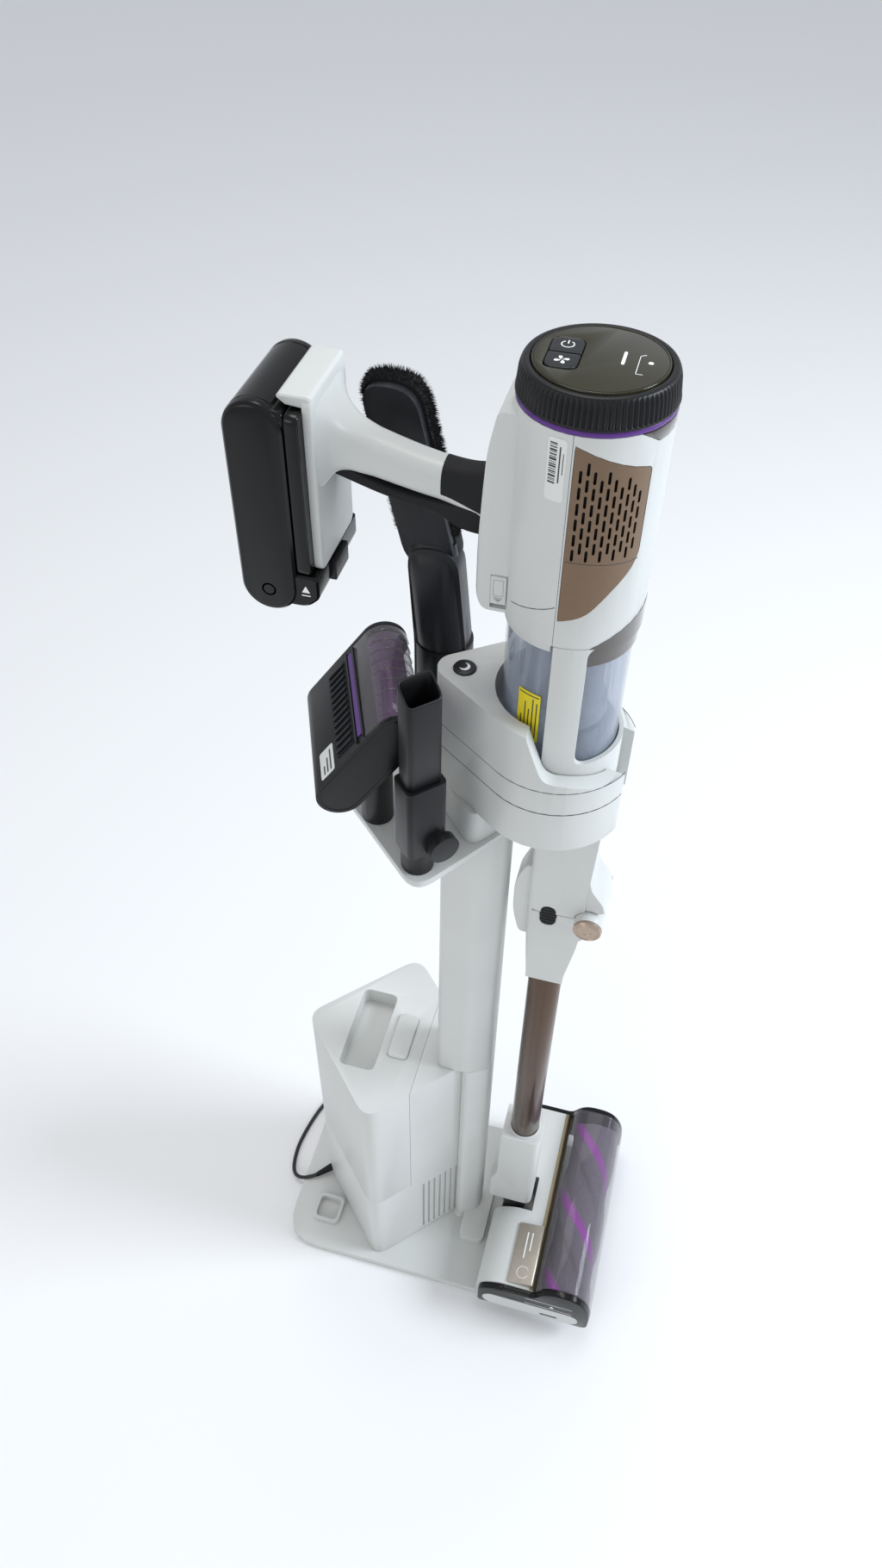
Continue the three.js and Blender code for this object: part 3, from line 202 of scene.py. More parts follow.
def fabric_roll(name, dark, bright, axis_y, axis_z, turns):
    """Brush roll: matt fibre with bright spiral strips, by angle about the roll and distance along it."""
    finish = Finish(name, dark, 0.85)
    y = finish.axis(1) - axis_y
    z = finish.axis(2) - axis_z
    angle = z.math("ARCTAN2", y)
    spiral = (angle * 2.0 + finish.axis(0) * turns).wave()
    strip = spiral.step(0.80, 0.90)
    fibre = finish.noise(900.0, 3.0, (0.2, 1, 1))
    shade = finish.mix(fibre, tinted(dark, 0.5), tinted(dark, 1.6))
    link = finish.node("Mix", {"data_type": "RGBA"}, 2, _0=strip, _7=(*bright, 1.0))
    finish.tree.links.new(shade.socket, link.socket.node.inputs[6])
    finish.set("Base Color", link)
    finish.set("Roughness", fibre * 0.2 + 0.65)
    finish.bump(fibre * 0.6 + strip * 0.4, 0.8, 0.001)
    return finish.material


WHITE = moulded("warm_white_plastic", (0.60, 0.61, 0.59), 0.36, 0.10)
DIM = {"Specular_IOR_Level": 0.30}
BLACK = moulded("black_plastic", (0.006, 0.006, 0.007), 0.38, 0.25, **DIM)
SATIN = moulded("satin_charcoal_plastic", (0.014, 0.015, 0.018), 0.34, 0.18, **DIM)
GLOSS = moulded("polished_black", (0.004, 0.004, 0.004), 0.16, 0.03, **DIM)
DISPLAY = moulded("display_glass", (0.032, 0.029, 0.015), 0.10, 0.02, **DIM)
RUBBER = moulded("matt_rubber", (0.007, 0.007, 0.008), 0.66, 0.35, **DIM)
BRONZE = metallic_paint("bronze_panel_paint", (0.185, 0.122, 0.076), 0.34)
TUBE = metallic_paint("bronze_tube_anodised", (0.088, 0.050, 0.030), 0.30, (8, 8, 0.4))
BRUSHED = metallic_paint("turned_bronze", (0.42, 0.32, 0.25), 0.32, (0.2, 6, 6))
STEEL = metallic_paint("bare_steel", (0.40, 0.40, 0.42), 0.35)
TAN = metallic_paint("tan_badge_plate", (0.46, 0.41, 0.35), 0.38)
PURPLE = moulded("purple_accent", (0.085, 0.015, 0.20), 0.30, 0.08)
SMOKY_THIN = see_through("thin_smoky_clear", (0.16, 0.15, 0.16), 0.24)
COVER = see_through("brush_cover_clear", (0.16, 0.15, 0.17), 0.15)
CLEAR = see_through("clear_cup", (0.40, 0.46, 0.56), 0.12)
BRISTLE = moulded("bristle_fibre", (0.008, 0.008, 0.009), 0.9, 0.9)
YELLOW = moulded("yellow_label", (0.75, 0.62, 0.01), 0.45, 0.05)
PALE = moulded("pale_label", (0.72, 0.73, 0.71), 0.5, 0.05)
INK = moulded("dark_print", (0.03, 0.03, 0.035), 0.5, 0.05)
ICON = moulded("white_print", (0.85, 0.86, 0.86), 0.5, 0.05)
CORD = moulded("cord_jacket", (0.010, 0.010, 0.011), 0.50, 0.3)
GREY = moulded("grey_moulding", (0.16, 0.17, 0.20), 0.42, 0.2)
SHADE = moulded("grey_print", (0.30, 0.31, 0.31), 0.5, 0.05)
OLIVE = metallic_paint("olive_bronze_strip", (0.20, 0.17, 0.10), 0.35)
SMOKED = moulded("smoked_brown_trim", (0.055, 0.045, 0.038), 0.14, 0.03, Coat_Weight=0.8,
                 Coat_Roughness=0.04)


# ------------------------------------------------------------------ surfaces as arrays, in millimetres
def box(node):
    """A CAD piece's lowest and highest corners."""
    return np.array([list(corner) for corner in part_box(node)]) / MM


def quads(rows, columns, round_rows, round_columns):
    """Four-sided faces of a grid of points; a direction that goes round joins its last line to its first."""
    row = np.arange(rows if round_rows else rows - 1)[:, None]
    column = np.arange(columns if round_columns else columns - 1)[None, :]
    row_next, column_next = (row + 1) % rows, (column + 1) % columns
    corners = np.stack([row * columns + column, row * columns + column_next,
                        row_next * columns + column_next, row_next * columns + column], axis=-1)
    return corners.reshape(-1, 4).tolist()


def tube(sections, ring=False):
    """Closed outlines one after another, (rows, columns, 3); the ends are filled unless the rows go round."""
    rows, columns = sections.shape[:2]
    faces = quads(rows, columns, ring, True)
    if not ring:
        faces.append(list(range(columns))[::-1])
        faces.append(list(range((rows - 1) * columns, rows * columns)))
    return sections.reshape(-1, 3), faces


def slab(outer, inner):
    """Two open grids of one shape, (rows, columns, 3), joined round their edge into a thin closed sheet."""
    rows, columns = outer.shape[:2]
    total = rows * columns
    index = np.arange(total).reshape(rows, columns)
    edge = np.concatenate([index[0, :], index[1:, -1], index[-1, -2::-1], index[-2:0:-1, 0]])
    faces = quads(rows, columns, False, False)
    faces += [[corner + total for corner in face[::-1]] for face in faces]
    after = np.roll(edge, -1)
    faces += np.stack([after, edge, edge + total, after + total], axis=-1).tolist()
    return np.concatenate([outer.reshape(-1, 3), inner.reshape(-1, 3)]), faces


def gather(*shells):
    """Several (points, faces) shells as one."""
    points, faces, count = [], [], 0
    for shell_points, shell_faces in shells:
        points.append(shell_points)
        faces += [[corner + count for corner in face] for face in shell_faces]
        count += len(shell_points)
    return np.concatenate(points), faces


# Which of a flat shape's u, v and distance along the axis becomes x, y and z, when turned and when pushed.
TURN_ORDER = {"x": (2, 0, 1), "y": (1, 2, 0), "z": (0, 1, 2)}
PUSH_ORDER = {"x": (2, 0, 1), "y": (0, 2, 1), "z": (0, 1, 2)}


def turned(profile, axis="z", centre=(0, 0, 0), sides=96, ring=False, radius_at=None):
    """Surface of revolution: each (radius, distance along the axis) of the profile goes once round.

    radius_at(radius, angle, share) may vary the radius with the angle; share is the profile's third number.
    """
    profile = np.asarray(profile, float)
    angle = np.linspace(0, 2 * np.pi, sides, endpoint=False)[None, :]
    radius = np.repeat(profile[:, :1], sides, axis=1)
    if radius_at is not None:
        radius = radius_at(radius, angle, profile[:, 2:3])
    along = np.repeat(profile[:, 1:2], sides, axis=1)
    local = np.stack([radius * np.cos(angle), radius * np.sin(angle), along], axis=-1)
    return tube(local[..., TURN_ORDER[axis]] + np.asarray(centre, float), ring)


def round_wall(outer, inner, low, high, sides=144):
    """A plain upright ring between two radii and two heights."""
    return turned([(outer, low), (outer, high), (inner, high), (inner, low)], sides=sides, ring=True)


def softened(corners, steps=6):
    """A closed outline whose corners (u, v, radius) are rounded by quadratic arcs."""
    corners = [(*corner, 0.0)[:3] for corner in corners]
    parts = []
    for place, (u, v, radius) in enumerate(corners):
        here = np.array([u, v])
        before = np.array(corners[place - 1][:2]) - here
        after = np.array(corners[(place + 1) % len(corners)][:2]) - here
        lengths = np.linalg.norm(before), np.linalg.norm(after)
        reach = min(radius, 0.48 * lengths[0], 0.48 * lengths[1])
        if reach < 0.01:
            parts.append(here[None, :])
            continue
        start, end = here + before / lengths[0] * reach, here + after / lengths[1] * reach
        t = np.linspace(0, 1, steps)[:, None]
        parts.append((1 - t) ** 2 * start + 2 * t * (1 - t) * here + t ** 2 * end)
    return np.concatenate(parts)


def rectangle(u0, u1, v0, v1, radius=0.0, steps=6):
    """Outline of a rectangle with rounded corners."""
    return softened([(u0, v0, radius), (u1, v0, radius), (u1, v1, radius), (u0, v1, radius)], steps)


def circle(u, v, radius, sides=40, start=0.0, end=2 * np.pi):
    """Points round a circle from one angle to another; a whole circle leaves out its repeated last point."""
    angle = np.linspace(start, end, sides, endpoint=end - start < 6.28)
    return np.stack([u + radius * np.cos(angle), v + radius * np.sin(angle)], axis=-1)


def open_ring(u, v, outer, inner, gap, sides):
    """Outline of a flat ring that is left open by an angle of gap on both sides of +u."""
    span = (gap, 2 * np.pi - gap)
    return np.concatenate([circle(u, v, outer, sides, *span), circle(u, v, inner, sides, *span)[::-1]])


def pill(u0, v0, u1, v1, radius, steps=10):
    """A bar with round ends between two points."""
    lean = math.atan2(v1 - v0, u1 - u0)
    far = circle(u1, v1, radius, steps, lean - np.pi / 2, lean + np.pi / 2)
    near = circle(u0, v0, radius, steps, lean + np.pi / 2, lean + 1.5 * np.pi)
    return np.concatenate([far, near])


def pushed(outline, axis, *levels):
    """An outline carried along an axis through levels; a level may be (place, inset towards its middle)."""
    middle = (outline.min(axis=0) + outline.max(axis=0)) / 2
    half = (outline.max(axis=0) - outline.min(axis=0)) / 2
    sections = []
    for level in levels:
        place, inset = level if isinstance(level, tuple) else (level, 0.0)
        flat = middle + (outline - middle) * (1 - inset / half)
        local = np.column_stack([flat, np.full(len(flat), place)])
        sections.append(local[:, PUSH_ORDER[axis]])
    return tube(np.stack(sections))


def on_round(radius, side=-1, centre=(0.0, 0.0)):
    """A place on an upright round wall: (arc from the side, height, lift) to a point; side -1 faces -X."""
    def surface(u, v, lift):
        angle = u / radius
        reach = radius + lift
        return np.stack([centre[0] + side * reach * np.cos(angle), centre[1] + reach * np.sin(angle),
                         v + 0 * angle], axis=-1)
    return surface


def on_plane(origin, along_u, along_v):
    """A place on a flat face: origin + u along_u + v along_v, lifted along their cross product."""
    origin, along_u, along_v = (np.asarray(value, float) for value in (origin, along_u, along_v))
    along_u = along_u / np.linalg.norm(along_u)
    along_v = along_v / np.linalg.norm(along_v)
    outwards = np.cross(along_u, along_v)

    def surface(u, v, lift):
        return (origin + np.asarray(u)[..., None] * along_u + np.asarray(v)[..., None] * along_v
                + lift * outwards)
    return surface


def patch(surface, u0, u1, v0, v1, lift=0.15, corner=0.0, fine=14, sunk=0.3):
    """A thin sheet on a surface; its sides draw in near both ends by a quarter circle of radius corner."""
    rows = np.linspace(v0 + corner, v1 - corner, fine)
    inward = 0 * rows
    if corner:
        turn = np.linspace(0, np.pi / 2, 6)[:-1]
        rise, draw = corner * (1 - np.cos(turn)), corner * (1 - np.sin(turn))
        rows = np.concatenate([v0 + rise, rows, (v1 - rise)[::-1]])
        inward = np.concatenate([draw, inward, draw[::-1]])
    share = np.linspace(0, 1, fine)[None, :]
    u = (u0 + inward)[:, None] * (1 - share) + (u1 - inward)[:, None] * share
    v = np.repeat(rows[:, None], fine, axis=1)
    return slab(surface(u, v, lift), surface(u, v, -sunk))


def mark(surface, outline, lift=0.2, sunk=0.3):
    """A small flat figure laid on a surface."""
    u, v = outline[:, 0], outline[:, 1]
    return tube(np.stack([surface(u, v, -sunk), surface(u, v, lift)]))


def line_on(surface, route, width=0.45, lift=0.06):
    """A fine parting line along a route of (u, v) places, as a narrow strip that stands just proud."""
    route = np.asarray(route, float)
    step = np.gradient(route, axis=0)
    across = np.stack([-step[:, 1], step[:, 0]], axis=-1)
    across /= np.linalg.norm(across, axis=1)[:, None]
    sides = np.stack([route - across * width / 2, route + across * width / 2], axis=1)
    return slab(surface(sides[..., 0], sides[..., 1], lift), surface(sides[..., 0], sides[..., 1], -0.4))


def frames_along(path):
    """Unit side and up vectors at each point of a path, carried along with as little twist as possible."""
    ahead = np.gradient(path, axis=0)
    ahead /= np.linalg.norm(ahead, axis=1)[:, None]
    side = np.cross(ahead[0], [0.0, 0.0, 1.0])
    sides = []
    for direction in ahead:
        side = side - direction * np.dot(side, direction)
        side = side / np.linalg.norm(side)
        sides.append(side)
    sides = np.array(sides)
    return sides, np.cross(sides, ahead)


def hose(path, radii, sides=14):
    """A round section of changing radius carried along a path."""
    path = np.asarray(path, float)
    side, up = frames_along(path)
    angle = np.linspace(0, 2 * np.pi, sides, endpoint=False)[None, :, None]
    radii = np.broadcast_to(np.asarray(radii, float), (len(path),))[:, None, None]
    spokes = np.cos(angle) * side[:, None, :] + np.sin(angle) * up[:, None, :]
    return tube(path[:, None, :] + radii * spokes)


def spline(points, count):
    """A smooth curve through points (Catmull-Rom), resampled evenly along its length."""
    points = np.asarray(points, float)
    padded = np.vstack([2 * points[0] - points[1], points, 2 * points[-1] - points[-2]])
    share = np.linspace(0, 1, 24, endpoint=False)[None, :, None]
    p0, p1, p2, p3 = (padded[i:len(padded) - 3 + i, None, :] for i in range(4))
    curve = 0.5 * (2 * p1 + (p2 - p0) * share + (2 * p0 - 5 * p1 + 4 * p2 - p3) * share ** 2
                   + (3 * p1 - p0 - 3 * p2 + p3) * share ** 3)
    curve = np.vstack([curve.reshape(-1, points.shape[1]), points[-1:]])
    length = np.concatenate([[0], np.cumsum(np.linalg.norm(np.diff(curve, axis=0), axis=1))])
    even = np.linspace(0, length[-1], count)
    return np.stack([np.interp(even, length, curve[:, i]) for i in range(points.shape[1])], axis=-1)


def blend_between(stations, values, wanted):
    """A smooth curve of one value through stations, read off at the wanted places."""
    curve = spline(np.column_stack([stations, values]), 400)
    return np.interp(wanted, curve[:, 0], curve[:, 1])


def eased(share):
    """From 0 to 1 with a level start and end: 3 s^2 - 2 s^3, held outside that range."""
    share = np.clip(share, 0, 1)
    return share * share * (3 - 2 * share)


def superellipse(half_u, half_v, power, sides):
    """Closed outline |u/a|^p + |v/b|^p = 1, one row for each pair of half sizes."""
    angle = np.linspace(0, 2 * np.pi, sides, endpoint=False)[None, :]
    cosine, sine = np.cos(angle), np.sin(angle)
    power = np.broadcast_to(np.asarray(power, float), np.shape(half_u))[:, None]
    u = np.sign(cosine) * np.abs(cosine) ** (2 / power) * np.asarray(half_u)[:, None]
    v = np.sign(sine) * np.abs(sine) ** (2 / power) * np.asarray(half_v)[:, None]
    return u, v


# ------------------------------------------------------------------ turning arrays into pieces
def to_mesh(name, shell):
    """A (points, faces) shell in millimetres as a mesh in metres: doubles merged, faces outwards."""
    points, faces = shell
    mesh = bpy.data.meshes.new(name)
    mesh.from_pydata((np.asarray(points, float) * MM).tolist(), [], faces)
    work = bmesh.new()
    work.from_mesh(mesh)
    bmesh.ops.remove_doubles(work, verts=work.verts, dist=1e-6)
    bmesh.ops.recalc_face_normals(work, faces=work.faces)
    work.to_mesh(mesh)
    work.free()
    return mesh


def finish_piece(name, mesh, material, body, slot, nodes=(), bevel=0.0, angle=32.0):
    """A mesh becomes a shown piece: smooth, edges rounded by bevel millimetres, riding on its body."""
    mesh.name = name
    mesh.materials.clear()
    mesh.materials.append(material)
    mesh.shade_smooth()
    piece = bpy.data.objects.new(name, mesh)
    bpy.context.scene.collection.objects.link(piece)
    if bevel:
        rim = piece.modifiers.new("rounded_edges", "BEVEL")
        rim.width = bevel * MM
        rim.segments = 3
        rim.limit_method = "ANGLE"
        rim.angle_limit = math.radians(angle)
        rim.harden_normals = True
    else:
        mesh.set_sharp_from_angle(angle=math.radians(angle))
    if body:
        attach(piece, body)
    if nodes:
        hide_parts(*nodes)
    return piece


def piece(name, shell, material, body, slot, nodes=(), bevel=0.0, angle=32.0):
    """A (points, faces) shell as a shown piece that takes the place of its CAD nodes, if it has any."""
    return finish_piece(name, to_mesh(name, shell), material, body, slot, nodes, bevel, angle)


def body_with(node):
    """The name of the moving body that a CAD piece belongs to."""
    return next(body for body, nodes in frame["record"]["behaviour"]["bodies"].items() if node in nodes)


def slot_with(node):
    """The material slot that a CAD piece has."""
    return next(part["material_slot"] for part in frame["record"]["subparts"] if part["node"] == node)


def clean_copy(node):
    """The CAD piece's own shape with its triangles merged into clean faces."""
    mesh = NODES[node].data.copy()
    work = bmesh.new()
    work.from_mesh(mesh)
    bmesh.ops.remove_doubles(work, verts=work.verts, dist=1e-6)
    bmesh.ops.dissolve_limit(work, angle_limit=math.radians(1.0), verts=work.verts, edges=work.edges)
    work.to_mesh(mesh)
    work.free()
    return mesh


def refined(node, material, bevel=0.6, angle=32.0):
    """A CAD piece's own shape with rounded edges and its finish, in that piece's place."""
    return finish_piece(node + "_shape", clean_copy(node), material, body_with(node), slot_with(node),
                        (node,), bevel, angle)


def refined_all(*rows):
    """Several CAD pieces refined, each given as (node, material, bevel)."""
    for row in rows:
        refined(*row)


def carved(name, mesh, tools):
    """The mesh after each (operation, mesh) of tools has been applied to it."""
    work = bpy.data.objects.new(name, mesh)
    bpy.context.scene.collection.objects.link(work)
    helpers = []
    for operation, tool in tools:
        helper = bpy.data.objects.new(name + "_tool", tool)
        bpy.context.scene.collection.objects.link(helper)
        cut = work.modifiers.new(operation, "BOOLEAN")
        cut.operation = operation
        cut.object = helper
        cut.solver = "EXACT"
        helpers.append(helper)
    shape = bpy.data.meshes.new_from_object(work.evaluated_get(bpy.context.evaluated_depsgraph_get()))
    for spent in (work, *helpers):
        bpy.data.objects.remove(spent)
    return shape


# ------------------------------------------------------------------ camera, floor and light
def turned_to(direction, roll=0.0):
    """A rotation that points -Z along direction with the top up, rolled clockwise by roll radians."""
    forward = Vector(direction).normalized()
    right = forward.cross(Vector((0, 0, 1))).normalized()
    up = right.cross(forward)
    right, up = (right * math.cos(roll) + up * math.sin(roll), up * math.cos(roll) - right * math.sin(roll))
    return Matrix((right, up, -forward)).transposed().to_4x4()


def set_camera():
    """The camera on the near side, above the body and looking down, with a slight roll."""
    azimuth, down, roll = math.radians(-75.46), math.radians(47.18), math.radians(0.88)
    data = bpy.data.cameras.new("camera")
    data.sensor_fit = "VERTICAL"
    data.sensor_height = 36.0
    data.lens = 26.755
    camera = bpy.data.objects.new("camera", data)
    direction = (-math.sin(azimuth) * math.cos(down), math.cos(azimuth) * math.cos(down), -math.sin(down))
    camera.matrix_world = Matrix.Translation((-0.65039, -0.07535, 1.55015)) @ turned_to(direction, roll)
    bpy.context.scene.collection.objects.link(camera)
    bpy.context.scene.camera = camera


def soft_light(name, place, target, size, power, color):
    """A round area light at a place, aimed at a target."""
    data = bpy.data.lights.new(name, "AREA")
    data.shape = "DISK"
    data.size = size
    data.energy = power
    data.color = color
    light = bpy.data.objects.new(name, data)
    aim = Vector(target) - Vector(place)
    light.matrix_world = Matrix.Translation(place) @ turned_to(aim)
    bpy.context.scene.collection.objects.link(light)


def set_stage():
    """A wide pale floor, a pale sky and three soft lights."""
    reach = 60.0
    mesh = bpy.data.meshes.new("floor")
    corners = [(-reach, -reach, 0), (reach, -reach, 0), (reach, reach, 0), (-reach, reach, 0)]
    mesh.from_pydata(corners, [], [(0, 1, 2, 3)])
    mesh.materials.append(Finish("pale_floor", (0.84, 0.84, 0.84), 0.75).material)
    floor = bpy.data.objects.new("floor", mesh)
    bpy.context.scene.collection.objects.link(floor)
    world = bpy.data.worlds.new("studio")
    world.use_nodes = True
    sky = world.node_tree.nodes["Background"]
    sky.inputs["Color"].default_value = (0.90, 0.94, 1.0, 1.0)
    sky.inputs["Strength"].default_value = 0.68
    bpy.context.scene.world = world
    bpy.context.scene.view_settings.view_transform = "Standard"
    middle = (0, 0.05, 0.7)
    soft_light("window", (0.4, -2.8, 2.4), middle, 1.5, 95.0, (0.84, 0.92, 1.0))
    soft_light("fill", (-2.6, 1.6, 1.8), middle, 1.8, 16.0, (1.0, 0.96, 0.90))
    soft_light("top", (0.6, 0.3, 3.4), middle, 1.4, 22.0, (1.0, 0.98, 0.95))


set_camera()
set_stage()

# ------------------------------------------------------------------ sizes read from the frame
BODY_RADIUS = box("accent_ring")[1][0]
BODY_TOP = box("accent_ring")[0][2] - 0.3
BODY_FOOT = box("motor_housing_front")[0][2] - 0.3
CUP_LOW, CUP_HIGH = box("dust_cup")
CUP_RADIUS = CUP_HIGH[0]
DISPLAY_HIGH = box("display_panel")[1]
NEAR_WALL = on_round(BODY_RADIUS, -1)
FAR_WALL = on_round(BODY_RADIUS, 1)


# ------------------------------------------------------------------ mains cord
CORD_RADIUS = 2.5
COIL_TURNS, COIL_LAYERS = 7.5, 4
CORD_ROUTE = [
    (-24.4, 254.3, 17.6), (-29.6, 261.1, 15.8), (-33.6, 268.6, 15.2), (-34.6, 277, 11.5), (-31.5, 285, 6),
    (-22, 291.5, 3.1), (-4, 295, 2.8), (24, 295, 2.8), (56, 290, 2.8), (86, 281, 2.8), (110, 266, 2.8),
    (123, 246, 2.8), (127.5, 223, 2.8), (125.8, 196, 2.8),
]


def coil_turns(centre, outer):
    """Two columns of turns in four layers, from outside in and back.

    A turn eases in or out by one cord width in the middle of each layer, and up by one near the layer's end.
    """
    pitch, points_per_turn, packing, lift = 2 * CORD_RADIUS, 28, 0.985, 0.3
    angle = np.linspace(0, COIL_TURNS * 2 * np.pi, int(COIL_TURNS * points_per_turn) + 1)
    turn = angle / (2 * np.pi)
    layer = np.minimum(np.floor(turn / 2), COIL_LAYERS - 1)
    within = turn - 2 * layer
    shift = eased((within - 0.8) / 0.4)
    inwards = np.where(layer % 2 == 0, shift, 1 - shift)
    rise = np.where(layer < COIL_LAYERS - 1, eased((within - 1.65) / 0.35), 0)
    radius = outer - pitch * inwards
    height = CORD_RADIUS + lift + pitch * (layer + rise) * packing
    return np.stack([centre[0] + radius * np.cos(angle + np.pi), centre[1] + radius * np.sin(angle + np.pi),
                     height], axis=-1)


def cord_tail(start):
    """The last stretch: straight along y from the coil into the plug, easing down to its middle height."""
    plug_y, plug_z = box("cord_plug")[0][1] + 3, 11.0
    share = np.linspace(0, 1, 8)[1:, None]
    return np.concatenate([start[0] + 0 * share, start[1] + (plug_y - start[1]) * share,
                           start[2] + (plug_z - start[2]) * eased(share)], axis=1)


def relaxed(path, first, last, passes):
    """A stretch of a path with its bends opened: every pass averages each point with its neighbours."""
    for _ in range(passes):
        path[first:last] = (path[first - 1:last - 1] + 2 * path[first:last] + path[first + 1:last + 1]) / 4


def mains_cord():
    """The free run through the given points, then the coil, then the tail into the plug."""
    coil_low, coil_high = box("cord_coil")
    coil = coil_turns((coil_low + coil_high) / 2, (coil_high[0] - coil_low[0]) / 2 - CORD_RADIUS)
    run = spline(CORD_ROUTE + [tuple(coil[0])], 90)[:-1]
    path = np.vstack([run, coil, cord_tail(coil[-1])])
    relaxed(path, 1, 26, 45)
    relaxed(path, len(run) - 12, len(run) + 6, 25)
    cord = piece("mains_cord", hose(path, CORD_RADIUS, 12), CORD, "dock", "rubber",
                 ("cord_lead", "cord_coil"))
    plug = refined("cord_plug", SATIN, 1.2)
    ribbed_relief()


def ribbed_relief():
    """A tapered sleeve with ring ribs: radius falls from the root to the tip and swells at each rib."""
    root, tip = np.array([-9.0, 236.0, 22.5]), np.array(CORD_ROUTE[0])
    buried, ribs, rib_height = -0.12, 7, 0.55
    share = np.linspace(buried, 1, 90)
    path = root + (tip - root) * share[:, None]
    swell = np.clip(np.cos(share * 2 * np.pi * ribs), -0.2, 0.6) * rib_height
    ribbed = (share > 0.05) * (share < 0.97)
    radii = np.interp(share, [buried, 0, 1], [5.2, 5.0, 2.9]) + swell * ribbed
    return piece("strain_relief_ribs", hose(path, radii, 24), RUBBER, "dock", "rubber",
                 ("cord_strain_relief",))


# ------------------------------------------------------------------ top of the body: dial, display, keys
def grip_dial():
    """Ring whose sloping side is fluted: the radius dips between ribs by a raised cosine of the angle."""
    low, high = box("dial_ring")
    foot, z0, z1 = high[0], low[2], high[2]
    inner = DISPLAY_HIGH[0] + 0.45
    ribs, depth, sharpness = 84, 1.0, 1.6

    def fluted(radius, angle, share):
        return radius - share * depth * (0.5 + 0.5 * np.cos(ribs * angle)) ** sharpness

    profile = [(inner, z0, 0), (foot - 0.5, z0, 0), (foot - 0.05, z0 + 0.6, 0), (foot - 0.15, z0 + 1.6, 0),
               (foot - 0.35, z0 + 2.1, 1), (foot - 1.5, z1 - 6, 1), (foot - 2.5, z1 - 2.6, 1),
               (foot - 3.1, z1 - 1.5, 0), (foot - 3.8, z1 - 0.5, 0), (foot - 5.0, z1, 0),
               (inner + 0.7, z1 - 0.1, 0), (inner, z1 - 0.7, 0)]
    piece("fluted_dial", turned(profile, sides=ribs * 8, ring=True, radius_at=fluted), BLACK, "dial",
          "black_plastic", ("dial_ring",), angle=50)


def display():
    """Dark glass with a thin raised rim, and the marks that light up on it."""
    refined_all(("display_panel", DISPLAY, 0.8), ("accent_ring", PURPLE, 0.4), ("sensor_window", SMOKED, 0.3))
    top, rim_high = DISPLAY_HIGH[2], 0.12
    inner, outer = DISPLAY_HIGH[0] - 1.6, DISPLAY_HIGH[0] - 1.1
    rim = turned([(inner, top - 0.2), (inner, top + rim_high), (outer, top + rim_high), (outer, top - 0.2)],
                 ring=True)
    piece("display_rim", rim, GLOSS, "hand_unit", "gloss_black")
    glass = on_plane((0, 0, top), (1, 0, 0), (0, 1, 0))
    bars = [mark(glass, pill(-4, -13, 10, -13, 1.0)), mark(glass, pill(-14, -22, 8, -22, 0.22)),
            mark(glass, pill(8, -22, 10, -25, 0.22)), mark(glass, pill(-14, -22, -14, -26, 0.22)),
            mark(glass, circle(1, -29, 1.6))]
    piece("display_marks", gather(*bars), ICON, "hand_unit", "gloss_black")


# The key caps stop this far under the CAD keys' tops, which leaves room for the marks on them.
KEY_TOP = box("power_button")[1][2] - 0.15
KEY_MARK_LIFT = 0.08


def key_cap(name, node, body, outer_side):
    """A key with two large outer corners; gives back its middle."""
    low, high = box(node)
    inner_x, outer_x = (low[0], high[0]) if outer_side > 0 else (high[0], low[0])
    outline = softened([(inner_x, low[1], 1.5), (outer_x, low[1], 7), (outer_x, high[1], 7),
                        (inner_x, high[1], 1.5)])
    cap = pushed(outline, "z", low[2], (KEY_TOP - 0.9, 0), (KEY_TOP - 0.25, 0.3), (KEY_TOP, 1.1),
                 (KEY_TOP, 3.0))
    piece(name + "_key_cap", cap, SATIN, body, "satin_black", (node,), angle=40)
    return ((low + high) / 2)[:2]


def keys():
    """The power key, with a broken ring and a bar, and the fan key, with four curved petals."""
    face = on_plane((0, 0, KEY_TOP), (1, 0, 0), (0, 1, 0))
    u, v = key_cap("power", "power_button", "power_key", 1)
    power = [mark(face, open_ring(u, v, 4.2, 3.5, 0.55, 30), KEY_MARK_LIFT),
             mark(face, pill(u + 1.0, v, u + 4.6, v, 0.4), KEY_MARK_LIFT)]
    piece("power_mark", gather(*power), ICON, "power_key", "satin_black")
    u, v = key_cap("fan", "fan_button", "fan_key", -1)
    leaf = np.array([[0.5, 0.2], [1.6, 0.3], [3.4, -0.2], [4.6, 1.0], [4.0, 2.4], [2.2, 2.2], [0.9, 1.2]])
    petals = []
    for turn in np.arange(4) * np.pi / 2:
        spin = np.array([[math.cos(turn), math.sin(turn)], [-math.sin(turn), math.cos(turn)]])
        petals.append(mark(face, leaf @ spin + [u, v], KEY_MARK_LIFT))
    piece("fan_mark", gather(*petals), ICON, "fan_key", "satin_black")


# ------------------------------------------------------------------ body housing
PANEL = softened([(3.2, BODY_TOP - 6.3), (-40.7, BODY_TOP - 24.3, 2), (-40.7, BODY_FOOT + 64, 10),
                  (-14.5, BODY_FOOT + 28, 16), (3.2, BODY_FOOT + 22.3)])


